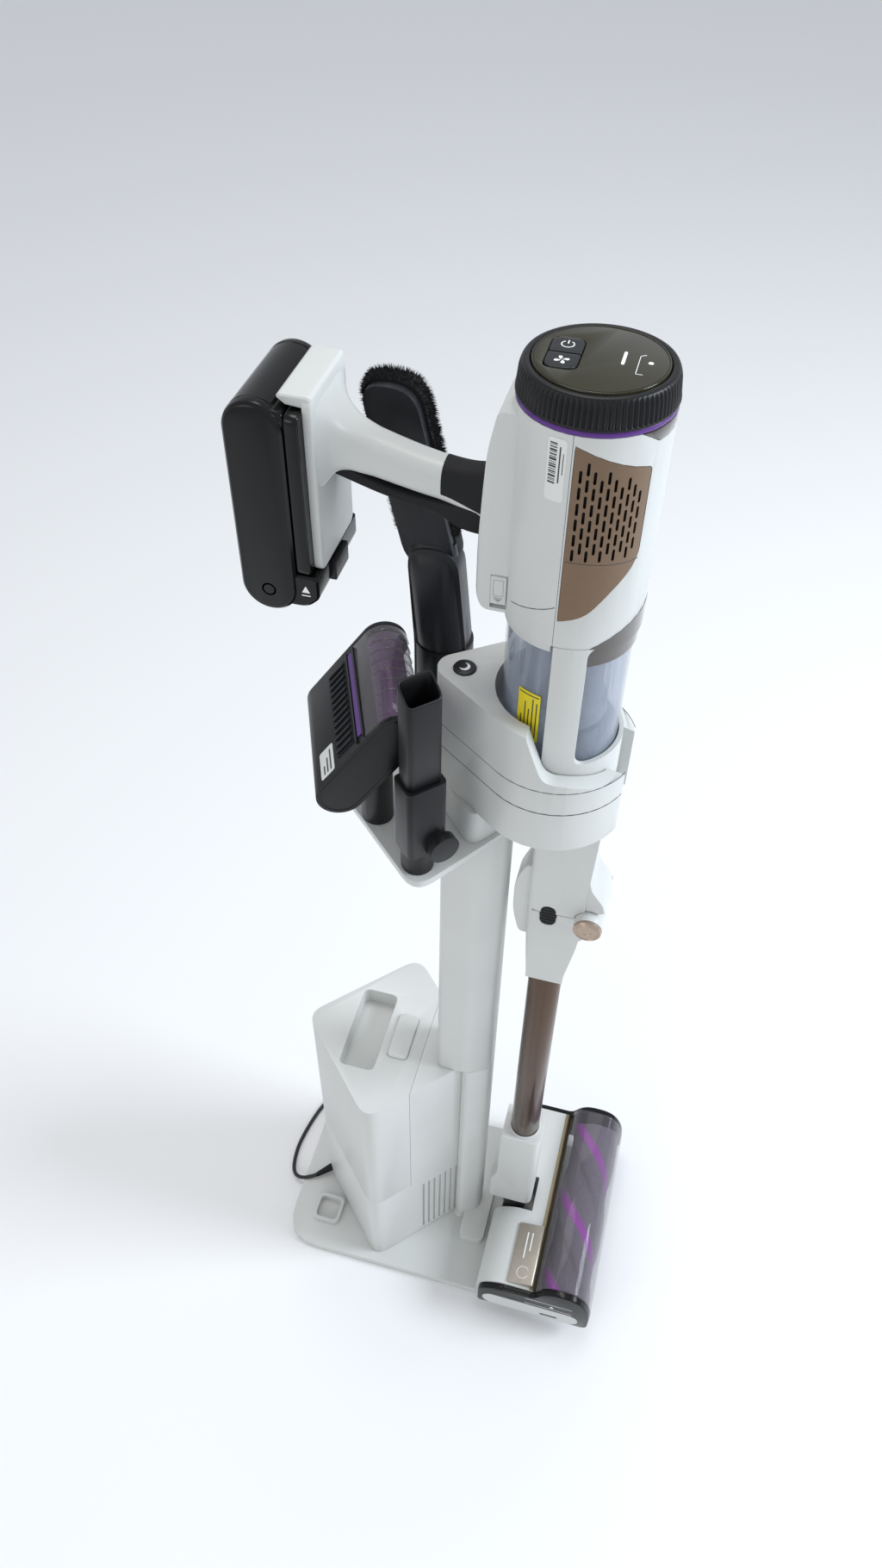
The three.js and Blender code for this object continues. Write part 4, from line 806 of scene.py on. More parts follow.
def exhaust_panel(side, name):
    """A curved metal-painted sheet, its outline cut from the round wall, pierced by staggered slots."""
    wall = to_mesh(name, round_wall(BODY_RADIUS - 0.02, BODY_RADIUS - 2.4, BODY_FOOT + 1, BODY_TOP - 1, 180))
    edge = to_mesh(name, pushed(PANEL, "x", *((-60, -12) if side < 0 else (12, 60))))
    holes = []
    columns, pitch, rise, length, half_width = 10, 4.4, 11.2, 8.8, 0.95
    surface = on_round(BODY_RADIUS, side)
    for column in range(columns):
        u = -1.5 - column * pitch
        y = BODY_RADIUS * math.sin(u / BODY_RADIUS)
        ceiling = np.interp(-y, [-3.2, 40.7], [BODY_TOP - 11, BODY_TOP - 29])
        z = BODY_FOOT + 76 + (column % 2) * rise / 2
        while z + length / 2 < ceiling:
            outline = pill(u, z - length / 2 + half_width, u, z + length / 2 - half_width, half_width, 5)
            holes.append(mark(surface, outline, 2.0, 5.0))
            z += rise
    shape = carved(name, wall, [("INTERSECT", edge), ("DIFFERENCE", to_mesh(name, gather(*holes)))])
    node = "exhaust_grille_near" if side < 0 else "exhaust_grille_far"
    finish_piece(name, shape, BRONZE, "hand_unit", "bronze_panel", (node,), 0.22, 35)
    z = BODY_FOOT + 69 + 1.5 * np.cos(np.linspace(0, 3, 24))
    seam = line_on(surface, np.column_stack([np.linspace(2.5, -48, 24), z]), 0.5, 0.03)
    piece(name + "_seam", seam, INK, "hand_unit", "bronze_panel")


def rating_sticker():
    """Pale sticker behind the near panel, with a column of bars of changing thickness and two long ones."""
    low, high = BODY_TOP - 46, BODY_TOP - 4
    piece("rating_sticker", patch(NEAR_WALL, 8, 20.5, low, high, 0.14, 2.2), PALE, "hand_unit",
          "white_plastic")
    thick = (0.9, 0.4, 0.7, 1.3, 0.4, 0.9, 0.5, 1.5, 0.4, 0.8, 1.2, 0.5, 0.9, 0.4, 1.4, 0.6, 0.4, 1.1)
    bars, z = [], high - 3
    for index, height in enumerate(thick):
        bars.append(patch(NEAR_WALL, 14.2, 19.0, z - height, z, 0.22, 0.0, 4))
        z -= height + (0.9 if index % 3 else 0.5)
    bars.append(patch(NEAR_WALL, 11.6, 12.5, z + 2, high - 5, 0.22, 0.0, 4))
    bars.append(patch(NEAR_WALL, 9.6, 10.1, z + 8, high - 9, 0.22, 0.0, 4))
    piece("sticker_bars", gather(*bars), INK, "hand_unit", "white_plastic")


def body_housing():
    """The round body: its shells, slotted panels, a matt black ring behind them that paints the shade inside
    the slots, parting lines and motor.
    """
    refined("motor_housing_front", WHITE, 0.35)
    refined("motor_housing_rear", WHITE, 0.0, 20)
    exhaust_panel(-1, "slotted_panel_near")
    exhaust_panel(1, "slotted_panel_far")
    # Painted shade: a matt black ring behind the slotted panels stands in for the shade inside the slots.
    sleeve = round_wall(BODY_RADIUS - 3.0, BODY_RADIUS - 4.0, BODY_FOOT + 12, BODY_TOP - 8, 96)
    piece("slot_shade_backing", sleeve, RUBBER, "hand_unit", "rubber")
    arc = np.linspace(6, 44, 30)
    dip = BODY_FOOT + 33 - 15 * ((arc - 6) / 38) ** 0.8
    for name, wall in (("near", NEAR_WALL), ("far", FAR_WALL)):
        piece("rear_shell_seam_" + name, line_on(wall, np.column_stack([arc, dip])), INK, "hand_unit",
              "white_plastic")
    rating_sticker()
    refined_all(("motor", STEEL, 0.8), ("impeller", STEEL, 0.3))


def cup_slider():
    """The cup's release slider with a thin frame, a bar and an arrow head printed on it."""
    refined("cup_release_slider", WHITE, 0.5)
    low, high = box("cup_release_slider")
    plate = on_plane((low[0], (low[1] + high[1]) / 2, (low[2] + high[2]) / 2), (0, -1, 0), (0, 0, 1))
    bars = [(-3.6, 3.6, 8.6, 8.9), (-3.6, 3.6, -4.4, -4.1), (-3.6, -3.3, -4.4, 8.9), (3.3, 3.6, -4.4, 8.9),
            (-3.0, 3.0, -6.2, -5.7)]
    marks = [patch(plate, *bar, 0.12, 0, 3) for bar in bars]
    marks.append(mark(plate, np.array([[-2.8, -6.9], [0, -9.6], [2.8, -6.9]]), 0.12))
    piece("slider_marks", gather(*marks), SHADE, "cup_slider", "white_plastic")


# ------------------------------------------------------------------ dust cup
def cup_fins(radius, z0, z1):
    """Ten flat fins down the inside of the cup, one every tenth of a turn."""
    outline = softened([(radius - 5.5, z1 - 12, 2), (radius - 0.4, z1 - 8), (radius - 0.4, z0 + 52),
                        (radius - 2.2, z0 + 60, 4)])
    fins = []
    for index in range(10):
        turn = (index + 0.5) * 2 * np.pi / 10
        surface = on_plane((0, 0, 0), (math.cos(turn), math.sin(turn), 0), (0, 0, 1))
        fins.append(mark(surface, outline, 0.5, 0.5))
    piece("cup_fins", gather(*fins), CLEAR, "hand_unit", "clear_plastic", bevel=0.2)


def dust_cup():
    """Clear wall: a turned shell with a rolled lip at both ends, fins down its inside and an inlet tube."""
    z0, z1 = CUP_LOW[2], CUP_HIGH[2]
    outer, inner = CUP_RADIUS - 0.05, CUP_RADIUS - 1.9
    wall = turned([(outer, z0 + 0.4), (outer - 0.5, z0 + 5), (outer - 0.5, z1 - 7), (outer, z1 - 5.5),
                   (outer, z1 - 0.3), (inner, z1 - 0.3), (inner - 0.5, z1 - 7), (inner - 0.5, z0 + 6),
                   (inner, z0 + 0.4)], sides=144, ring=True)
    piece("clear_cup_wall", wall, CLEAR, "hand_unit", "clear_plastic", ("dust_cup",), angle=45)
    cup_fins(inner, z0, z1)
    inlet = turned([(13.4, z0 + 1), (15.2, z0 + 1), (15.2, z0 + 40), (14.4, z0 + 41), (13.4, z0 + 40)],
                   centre=(0, -16, 0), sides=48, ring=True)
    piece("cup_inlet_tube", inlet, CLEAR, "hand_unit", "clear_plastic", bevel=0.2)


def cyclone():
    """Shroud: a dimpled screen whose radius swings in rows and columns, above a flared skirt."""
    z0, z1 = box("cyclone_screen")[0][2], box("cyclone_screen")[1][2]
    dimples, depth, row_rate = 60, 0.7, 2.4

    def dimpled(radius, angle, share):
        return radius - share * depth * (0.5 + 0.5 * np.cos(dimples * angle))

    rows = np.linspace(z0 + 22, z1 - 6, 60)
    screen = [(29.6, z, 0.5 + 0.5 * math.cos((z - z0) * row_rate)) for z in rows]
    shroud = turned([(30.8, z0 + 20, 0), *screen, (30.8, z1 - 5, 0), (30.8, z1, 0), (28, z1, 0),
                     (28, z0 + 20, 0)], sides=360, ring=True, radius_at=dimpled)
    piece("cyclone_shroud", shroud, GREY, "hand_unit", "satin_black", ("cyclone_screen",), angle=50)
    skirt = turned([(28, z0 + 20), (33.5, z0 + 16), (34.5, z0 + 6), (33.8, z0 + 6), (32.6, z0 + 15),
                    (26, z0 + 18), (24, z0 + 8), (18, z0 - 6), (17, z0 - 6), (22.6, z0 + 9), (25, z0 + 20)],
                   sides=96, ring=True)
    piece("cyclone_skirt", skirt, GREY, "hand_unit", "satin_black", bevel=0.25)


def window_surround():
    """White front of the cup frame: a round wall cut to its own outline, with one large rounded window."""
    low, high = CUP_LOW[2] + 4, BODY_FOOT - 0.2
    wall = to_mesh("wall", round_wall(BODY_RADIUS + 0.3, CUP_RADIUS + 0.35, low, high))
    front = to_mesh("front", pushed(rectangle(-70, 70, low - 5, high + 5), "y", -80, -10))
    window = softened([(-80, low + 33), (-44, low + 33, 10), (-19.5, low + 33, 9), (-19.5, high - 3, 6),
                       (-40, high + 13), (-80, high + 13)], 10)
    opening = to_mesh("opening", pushed(window, "x", -80, 80))
    shape = carved("window_surround", wall, [("INTERSECT", front), ("DIFFERENCE", opening)])
    finish_piece("window_surround", shape, WHITE, "hand_unit", "white_plastic", (), 0.35, 35)


def window_band():
    """Smoked trim over the window: a round band cut to an outline that rises towards the front."""
    band = to_mesh("band", round_wall(BODY_RADIUS + 0.25, BODY_RADIUS - 0.5, BODY_FOOT - 4, BODY_FOOT + 22))
    outline = softened([(-20.5, BODY_FOOT - 3.5, 1), (-55, BODY_FOOT - 3.5), (-55, BODY_FOOT + 20),
                        (-44, BODY_FOOT + 13), (-20.5, BODY_FOOT + 0.5, 3)])
    trim = to_mesh("trim", pushed(outline, "x", -80, 80))
    finish_piece("window_band", carved("window_band", band, [("INTERSECT", trim)]), SMOKED, "hand_unit",
                 "smoky_clear", (), 0.15, 35)


def cup_trim():
    """The parts round the cup: frame, door, smoked band, rear collar and the yellow label with plain bars."""
    window_surround()
    window_band()
    refined_all(("cup_door", CLEAR, 0.3), ("cup_frame", WHITE, 0.5))
    reach = CUP_RADIUS + 0.3
    collar, top, quarter = on_round(reach, -1), BODY_FOOT, 0.5 * np.pi * reach
    band = patch(collar, -quarter - 46, -18.5, top - 17, top - 0.4, 1.6, 0, 60, 0.1)
    piece("smoky_band", band, SMOKED, "hand_unit", "smoky_clear", bevel=0.2)
    rear = patch(collar, 6, quarter + 64, top - 6.5, top - 0.4, 1.2, 0, 60, 0.1)
    piece("rear_collar", rear, WHITE, "hand_unit", "white_plastic", bevel=0.3)
    wall, base = on_round(CUP_RADIUS, -1), CUP_LOW[2] + 53
    piece("yellow_label", patch(wall, 9.5, 28.5, base, base + 46, 0.15, 1.0), YELLOW, "hand_unit",
          "clear_plastic")
    bars = [patch(wall, 11.5 + 3.2 * row, 12.4 + 3.2 * row, base + 4, base + end, 0.25, 0, 4)
            for row, end in enumerate((38, 41, 30, 36, 22))]
    bars.append(patch(wall, 10.6, 27.4, base + 43, base + 44, 0.25, 0, 6))
    piece("label_bars", gather(*bars), INK, "hand_unit", "clear_plastic")


# ------------------------------------------------------------------ handle and battery
HANDLE_REAR = box("battery_mount")[0][1] - 6.5


def handle_grip():
    """A lofted grip: superellipse sections along the body-to-battery line, flaring into the face plate.

    A thin black sleeve covers its root; it is the same loft pushed out and cut level below the middle.
    """
    sides, rear = 56, HANDLE_REAR + 0.8
    root = box("grip_insert")[0][1]
    along = np.linspace(root, rear, 90)
    stations = (root, 75, 90, 110, 130, 147, 157, 165, rear)
    top = BODY_FOOT + blend_between(stations, (99.5, 98, 99, 103, 108.5, 114, 119, 127, 140), along)
    low = BODY_FOOT + blend_between(stations, (54, 62, 70, 74.5, 79, 83, 85.5, 84, 76), along)
    wide = blend_between(stations, (13.8, 13.4, 13.4, 13.8, 14.2, 15.0, 17.0, 21.5, 32.5), along)
    power = np.interp(along, [root, 140, HANDLE_REAR], [2.5, 2.6, 4.5])
    middle, half = (top + low) / 2, (top - low) / 2
    u, v = superellipse(wide, half, power, sides)
    y = np.repeat(along[:, None], sides, axis=1)
    piece("lofted_handle", tube(np.stack([u, y, v + middle[:, None]], axis=-1)), WHITE, "hand_unit",
          "white_plastic")
    part, thickness, growth = (along > root - 1) & (along < 94), 0.45, 1.02
    sleeve_u = u[part] + thickness * np.sign(u[part])
    sleeve_v = np.clip(v[part], -0.35 * half[part][:, None], None) * growth
    sleeve = np.stack([sleeve_u, y[part], sleeve_v + middle[part][:, None]], axis=-1)
    piece("handle_root_cover", tube(sleeve), RUBBER, "hand_unit", "black_plastic", bevel=0.5)
    refined("grip_insert", RUBBER, 1.5)


def face_plate():
    """The upright plate that the battery slides onto, with a lip over its top."""
    rear, foot, head = HANDLE_REAR, BODY_FOOT + 16.3, BODY_FOOT + 146
    face = pushed(rectangle(-34, 34, foot, head, 7, 8), "y", (rear + 0.1, 1.5), (rear + 0.6, 0.4),
                  (rear + 1.6, 0), (rear + 6.5, 0))
    piece("face_plate", face, WHITE, "hand_unit", "white_plastic", ("handle_grip",), 0.4)
    lip = softened([(rear + 0.5, head - 8), (rear + 18, head - 6), (rear + 24, head - 1, 3),
                    (rear + 22, head + 1.0, 2), (rear + 0.5, head + 1.0, 3)])
    piece("face_plate_lip", pushed(lip, "x", (-33, 1.2), (-32, 0), (32, 0), (33, 1.2)), WHITE, "hand_unit",
          "white_plastic", bevel=0.4)


def across(outline, half, inset, rim, depth):
    """An outline pushed from one side of the battery to the other, its sides drawn in by inset over rim."""
    return pushed(outline, "x", (-half + rim, inset), (-half + depth, 0), (half - depth, 0),
                  (half - rim, inset))


def battery_cells(centre, half, radius, foot, head):
    """Stadium section along x: full radius in the middle, a groove near each end and rounded ends."""
    ring = pill(0, foot, 0, head, 1.0, 24)
    clipped = np.clip(ring[:, 1], foot, head)
    direction = np.stack([ring[:, 0], ring[:, 1] - clipped], axis=-1)
    spine = np.stack([np.zeros(len(ring)), clipped], axis=-1)
    groove = radius - 0.9
    stations = [(-half, 16.5), (-half + 0.6, 18.6), (-half + 2.4, 20.4), (-half + 5, radius),
                (-half + 7.4, radius), (-half + 7.9, groove), (-half + 8.7, groove), (-half + 9.2, radius)]
    stations += [(-x, r) for x, r in stations[::-1]]
    sections = []
    for x, r in stations:
        flat = spine + direction * r
        sections.append(np.column_stack([np.full(len(flat), x), centre + flat[:, 0], flat[:, 1]]))
    piece("battery_cells", tube(np.stack(sections)), GLOSS, "battery", "satin_black", ("battery_pack",), 0.2,
          28)


def battery():
    """The pack with its toe and shoulder, the arrow on its side, its charging port and what holds it."""
    low, high = box("battery_pack")
    radius, half, front = 21.0, high[0], low[1]
    centre, foot, head = high[1] - radius, low[2] + radius, high[2] - radius
    battery_cells(centre, half, radius, foot, head)
    toe_low, toe_high = low[2] + 6, low[2] + 33
    toe = softened([(front + 0.5, toe_low + 9, 4), (front + 10, toe_low, 6), (centre, toe_low),
                    (centre, toe_high), (front + 0.5, toe_high, 2)])
    piece("battery_toe", across(toe, half, 2, 2, 4), GLOSS, "battery", "satin_black", bevel=0.5)
    shoulder = softened([(front + 15.9, toe_high + 0.5), (front + 15.9, high[2] - 7, 4),
                         (front + 26, high[2] - 4.5, 6), (centre, high[2] - 0.6), (centre, toe_high + 0.5)])
    piece("battery_shoulder", across(shoulder, half, 2.5, 2.4, 4.4), GLOSS, "battery", "satin_black",
          bevel=0.5)
    side = on_plane((-half + 2.0, front + 10, toe_low + 13), (0, -1, 0), (0, 0, 1))
    arrow = [mark(side, np.array([[-3, 1], [3, 1], [0, 6.5]]), 0.2),
             mark(side, pill(-3, -1.5, 3, -1.5, 0.4), 0.2)]
    piece("battery_arrow", gather(*arrow), ICON, "battery", "satin_black")
    port = turned([(5.6, -half), (5.6, -half + 1.2), (3.4, -half + 1.2), (3.6, -half)], "x",
                  (0, centre, foot - 2), 32, ring=True)
    piece("charge_port_ring", port, RUBBER, "battery", "satin_black", bevel=0.3)
    refined_all(("battery_mount", GLOSS, 1.5), ("battery_release", SATIN, 1.0))


# ------------------------------------------------------------------ wand
HINGE = (box("hinge_pin")[0] + box("hinge_pin")[1]) / 2


def bellows():
    """Corrugated hose across the fold: the radius swings with the distance along it."""
    low, high = box("hinge_hose")
    centre, hinge = (low + high) / 2, HINGE[2]
    mean, ripple, pitch, bore = 11.6, 0.9, 4.2, 9.4
    along = np.linspace(hinge - 24, high[2] + 2, 160)
    radius = mean + ripple * np.cos((along - hinge) * 2 * np.pi / pitch)
    shell = turned([*zip(radius, along), (bore, along[-1]), (bore, along[0])],
                   centre=(centre[0], centre[1], 0), sides=40, ring=True)
    hose_piece = piece("bellows_hose", shell, RUBBER, None, "rubber", angle=60)
    centre[1] * MM
    (hinge + 10) * MM
    centre[1] * MM
    (hinge - 10) * MM
    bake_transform(hose_piece)
    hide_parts("hinge_hose")


def hose_window(name, sign):
    """One side of the neck: a dark window with round ends, hose ribs across it, and the parting line."""
    face = box("upper_neck")[0][0]
    y = (box("hinge_hose")[0][1] + box("hinge_hose")[1][1]) / 2 + 3
    z = HINGE[2] - 4
    radius, straight, rib_radius = 7.3, 6.5, 1.15
    plug = pushed(pill(y, z - straight, y, z + straight, radius, 20), "x", (sign * (face + 2.6), 0),
                  (sign * (face + 0.2), 0), (sign * (face - 0.1), 0.5))
    piece("hose_window_" + name, plug, RUBBER, "hand_unit", "black_plastic", bevel=0.2)
    ribs = []
    for step in (-10.8, -6.5, -2.2, 2.1, 6.4, 10.7):
        reach = math.sqrt(radius ** 2 - max(abs(step) - straight, 0) ** 2) - 1.0
        route = np.column_stack([np.full(9, sign * (face + 0.35)), np.linspace(-reach, reach, 9) + y,
                                 np.full(9, z + step)])
        ribs.append(hose(route, rib_radius, 10))
    piece("hose_ribs_" + name, gather(*ribs), SATIN, "hand_unit", "black_plastic")
    side = on_plane((sign * face, 0, 0), (0, -sign, 0), (0, 0, 1))
    seams = [line_on(side, np.column_stack([-sign * np.array(span), [HINGE[2], HINGE[2]]]), 0.5)
             for span in ((-36.0, y - 7.4), (y + 7.4, 2.0))]
    piece("hinge_seam_" + name, gather(*seams), INK, "hand_unit", "white_plastic")


def hinge_shroud():
    """The neck's rounded foot that hides the hinge barrel from the front."""
    top = HINGE[2]
    outline = softened([(-44, top + 62), (-46, top + 44, 14), (-60.5, top + 25, 12), (-62.9, top + 14.5, 2),
                        (-57.5, top + 11.8), (-50, top + 13.8), (-44, top + 13.2)])
    piece("hinge_shroud", pushed(outline, "x", (-20.4, 1.2), (-19.6, 0.3), (19.6, 0.3), (20.4, 1.2)), WHITE,
          "hand_unit", "white_plastic", bevel=0.4)


def turned_cap(name, sign):
    """A hinge cap: a bright turned disc with a rounded rim, a groove inside it and a shallow dish."""
    node = "hinge_cap_" + name
    low, high = box(node)
    centre, r, into = (low + high) / 2, (high[2] - low[2]) / 2, -sign
    face, base = (low[0], high[0]) if sign < 0 else (high[0], low[0])
    disc = turned([(0, base), (r, base), (r, face + into * 0.9), (r - 0.7, face + into * 0.2),
                   (r - 1.6, face), (r - 2.2, face + into * 0.5), (r - 3.0, face + into * 0.5),
                   (r - 3.4, face + into * 0.1), (4.2, face + into * 0.25), (3.8, face + into * 0.6),
                   (0, face + into * 0.6)], "x", (0, centre[1], centre[2]), 72)
    piece("turned_cap_" + name, disc, BRUSHED, "lower_wand", "brushed_cap", (node,), angle=25)


def tube_collars():
    """Tapered collars where the tube enters the nozzle's neck and the knuckle."""
    low, high = box("wand_tube")
    r, y = (high[0] - low[0]) / 2, (high[1] + low[1]) / 2
    for name, z, way in (("lower", box("nozzle_neck")[1][2], 1), ("upper", box("lower_knuckle")[0][2], -1)):
        ring = turned([(r + 0.1, z), (r + 2.2, z), (r + 1.7, z + way * 2.6), (r + 0.1, z + way * 3.0)],
                      centre=(0, y, 0), sides=64, ring=True)
        piece("tube_collar_" + name, ring, WHITE, "lower_wand", "bronze_tube", bevel=0.3)


def wand():
    """Everything between the body and the floor nozzle."""
    refined_all(("upper_neck", WHITE, 1.0), ("lower_knuckle", WHITE, 1.0), ("hinge_pin", STEEL, 0.4),
                ("fold_latch", WHITE, 1.4), ("wand_tube", TUBE, 0.3), ("nozzle_neck", WHITE, 1.2),
                ("neck_yoke", BLACK, 0.8))
    turned_cap("near", -1)
    turned_cap("far", 1)
    bellows()
    hose_window("near", 1)
    hose_window("far", -1)
    hinge_shroud()
    tube_collars()


# ------------------------------------------------------------------ floor nozzle
def nozzle():
    """The floor nozzle: housing, clear brush cover, wheels, seam strip, end caps, roller and badge."""
    refined_all(("nozzle_housing", WHITE, 1.0), ("brush_cover", COVER, 0.4),
                ("nozzle_wheel_near", RUBBER, 0.8), ("nozzle_wheel_far", RUBBER, 0.8))
    low, high = box("nozzle_housing")
    front, top = low[1], high[2]
    outline = softened([(front + 0.2, top - 6), (front + 5, top - 0.1), (front + 8.5, top - 0.1),
                        (front + 8.5, top + 0.9, 0.4), (front + 4.6, top + 0.9, 1), (front + 0.2, top - 4.4)])
    piece("seam_strip", pushed(outline, "x", low[0] + 0.5, high[0] - 0.5), OLIVE, "nozzle", "tan_plate",
          bevel=0.2)
    nozzle_cap("near", -1)
    nozzle_cap("far", 1)
    roller()
    badge()


def nozzle_cap(name, sign):
    """A polished end cap with a white plate, a slot in it, and thin printed marks."""
    node = "nozzle_cap_" + name
    low, high = box(node)
    inner, outer = (high[0], low[0]) if sign < 0 else (low[0], high[0])
    rear, front, foot, head = high[1], low[1], low[2], high[2]
    face = outer - sign * 0.6
    shape = softened([(rear, foot, 6), (rear, head - 39, 12), (rear - 22, head - 26, 14),
                      (rear - 69, head - 26, 6), (rear - 85, head, 22), (front + 17, head, 24),
                      (front, head - 32, 30), (front, foot, 10)], 8)
    body = pushed(shape, "x", (inner, 0), (outer - sign * 2.2, 0), (outer - sign * 1.0, 0.7), (face, 2.2))
    piece("end_cap_" + name, body, GLOSS, "nozzle", "black_plastic", (node,), angle=30)

    def on_face(outline, sunk, lift):
        """An outline in (y, z) carried out of the cap's face from sunk to lift."""
        return tube(np.stack([np.column_stack([np.full(len(outline), face + sign * level), outline])
                              for level in (sunk, lift)]))

    plate = pill(front + 26, foot + 16.5, rear - 20, foot + 16.5, 13.5, 16)
    piece("end_plate_" + name, on_face(plate, -0.6, 0.55), WHITE, "nozzle", "white_plastic", bevel=0.25)
    slot = pill(front + 40, foot + 12, front + 58, foot + 12, 2.2, 8)
    piece("end_slot_" + name, on_face(slot, 0.2, 0.59), INK, "nozzle", "black_plastic")
    arrow = np.array([[front + 44, foot + 38], [front + 50, foot + 38], [front + 47, foot + 43.5]])
    marks = [on_face(pill(front + 22, z, rear - 60, z, 0.35, 4), -0.2, 0.2) for z in (foot + 34, foot + 48)]
    marks.append(on_face(arrow, -0.2, 0.2))
    piece("cap_marks_" + name, gather(*marks), ICON, "nozzle", "black_plastic")


# How fast the brush roll's ridges wind, in radians for each millimetre along it.
ROLL_TWIST = 0.06


def roller():
    """Brush roll: a core with three spiral ridges; the radius follows the sine of (3 angle + twist x)."""
    low, high = box("brush_roll")
    centre = (low + high) / 2
    radius = (high[2] - low[2]) / 2
    sides, rows, ridges, core_depth, ridge_height = 120, 150, 3, 3.4, 3.2
    x = np.linspace(low[0] + 8.2, high[0] - 8.2, rows)
    angle = np.linspace(0, 2 * np.pi, sides, endpoint=False)[None, :]
    ridge = 0.5 + 0.5 * np.sin(ridges * angle + x[:, None] * ROLL_TWIST)
    r = radius - core_depth + ridge_height * np.clip((ridge - 0.55) / 0.3, 0, 1) ** 0.7
    r[[0, -1]] = radius - 8
    points = np.stack([np.repeat(x[:, None], sides, axis=1), centre[1] + r * np.cos(angle),
                       centre[2] + r * np.sin(angle)], axis=-1)
    pins = [turned([(0, a), (3.8, a), (3.8, b), (0, b)], "x", (0, centre[1], centre[2]), 24)
            for a, b in ((low[0], low[0] + 9), (high[0] - 9, high[0]))]
    finish = fabric_roll("spiral_brush_cloth", (0.16, 0.13, 0.17), (0.36, 0.04, 0.42),
                         centre[1] * MM, centre[2] * MM, ROLL_TWIST / MM)
    piece("spiral_brush", gather(tube(points), *pins), finish, "roller", "roller_fabric", ("brush_roll",),
          angle=70)


def badge():
    """The leaning badge plate with a ring and two bars raised on it."""
    refined("nozzle_badge", TAN, 0.7)
    low, high = box("nozzle_badge")
    thick, lift, sunk = 3, 0.25, 0.8
    lean = math.atan2(high[2] - low[2] - thick, high[1] - low[1])
    middle = (low + high) / 2
    face = on_plane((middle[0], middle[1], (high[2] + low[2] + thick) / 2 + 0.12), (-1, 0, 0),
                    (0, math.cos(lean), -math.sin(lean)))

    def upwards(u, v, height):
        return face(u, v, -height)

    marks = [mark(upwards, outline, lift, sunk) for outline in (
        open_ring(24, 0, 7.5, 6.9, 0.05, 48), pill(-26, 3, 6, 3, 0.7), pill(-26, -3, -4, -3, 0.7))]
    piece("badge_marks", gather(*marks), ICON, "nozzle", "tan_plate")


# ------------------------------------------------------------------ dock
def dock():
    """The dock's own housings, column, tray and cradle, with the details on them."""
    refined_all(("base_plate", WHITE, 2.6), ("tower_housing", WHITE, 0.9), ("dust_bin", WHITE, 1.4),
                ("bin_release_button", WHITE, 1.6), ("suction_motor", STEEL, 0.8),
                ("dock_column", WHITE, 0.9), ("accessory_tray", WHITE, 1.5), ("cradle", WHITE, 1.8))
    column_root()
    night_button()
    cradle_seams()


def night_button():
    """A round button with a rounded rim and a short foot, and a crescent moon on its top."""
    low, high = box("night_button")
    u, v = ((low + high) / 2)[:2]
    foot, head, edge = low[2] + 1.6, high[2], (high[0] - low[0]) / 2
    button = turned([(0, foot), (edge - 1.6, foot), (edge, foot + 0.8), (edge, head - 1.2),
                     (edge - 0.4, head - 0.4), (edge - 1.4, head), (0, head)], centre=(u, v, 0), sides=72)
    piece("night_button_cap", button, SATIN, "night_light", "satin_black", ("night_button",), angle=30)
    cap = on_plane((u, v, head), (1, 0, 0), (0, 1, 0))
    outer = circle(0, 0, 4.2, 30, 0.9, 2 * np.pi - 0.9)
    inner = circle(1.7, 0, 3.4, 30, 1.3, 2 * np.pi - 1.3)[::-1]
    lean = 1.1
    spin = np.array([[math.cos(lean), math.sin(lean)], [-math.sin(lean), math.cos(lean)]])
    piece("moon_mark", mark(cap, np.concatenate([outer, inner]) @ spin, 0.1), ICON, "night_light",
          "satin_black")


def column_root():
    """The column's front taken down past the tower's corner to the base plate, with a fillet at the foot."""
    low, high = box("dock_column")
    front, wide = low[1], high[0]
    outline = softened([(-12, front, 10), (12, front, 10), (wide, front + 24, 6), (wide - 6, front + 31),
                        (-wide + 6, front + 31), (-wide, front + 24, 6)])
    foot = box("tower_housing")[0][2]
    levels = [(foot + 0.2, -3.0), (foot + 0.8, -1.8), (foot + 2.2, -0.6), (foot + 4, 0), (low[2] - 0.2, 0)]
    piece("column_root", pushed(outline, "z", *levels), WHITE, "dock", "white_plastic", angle=40)


def cradle_seams():
    """Parting lines round the cradle's teardrop wall: two arcs and the straight runs that touch both."""
    low, high = box("cradle")
    wide, tip, centre = high[0], 15.0, 82.0
    lean = math.pi / 2 - math.acos((wide - tip) / centre)
    opening = math.acos(25.5 / wide)
    # Angles round the wide arc, round the tip and back; a straight run joins two arcs where an angle repeats.
    around = np.concatenate([np.linspace(-opening, lean, 40), np.linspace(lean, np.pi - lean, 30),
                             np.linspace(np.pi - lean, np.pi + opening, 40)])
    on_tip = np.concatenate([np.zeros(40), np.ones(30), np.zeros(40)])
    radius = np.where(on_tip > 0, tip, wide)
    outward = np.stack([np.cos(around), np.sin(around)], axis=-1)
    route = outward * radius[:, None] + np.stack([0 * around, on_tip * centre], axis=-1)
    for name, z, tall in (("lower", low[2] + 77, 0.7), ("upper", low[2] + 101, 0.5)):
        rows = [np.column_stack([route + outward * lift, np.full(len(route), z + step)])
                for lift, step in ((0.07, 0), (0.07, tall), (-0.3, 0), (-0.3, tall))]
        seam = slab(np.stack(rows[:2]), np.stack(rows[2:]))
        piece("cradle_seam_" + name, seam, INK, "dock", "white_plastic")


# ------------------------------------------------------------------ hand tools
DUSTER = box("duster_body")[0] + np.array([24.0, 24.0, 0.0])
HAIR_COUNT, HAIR_RADIUS = 9000, 0.3


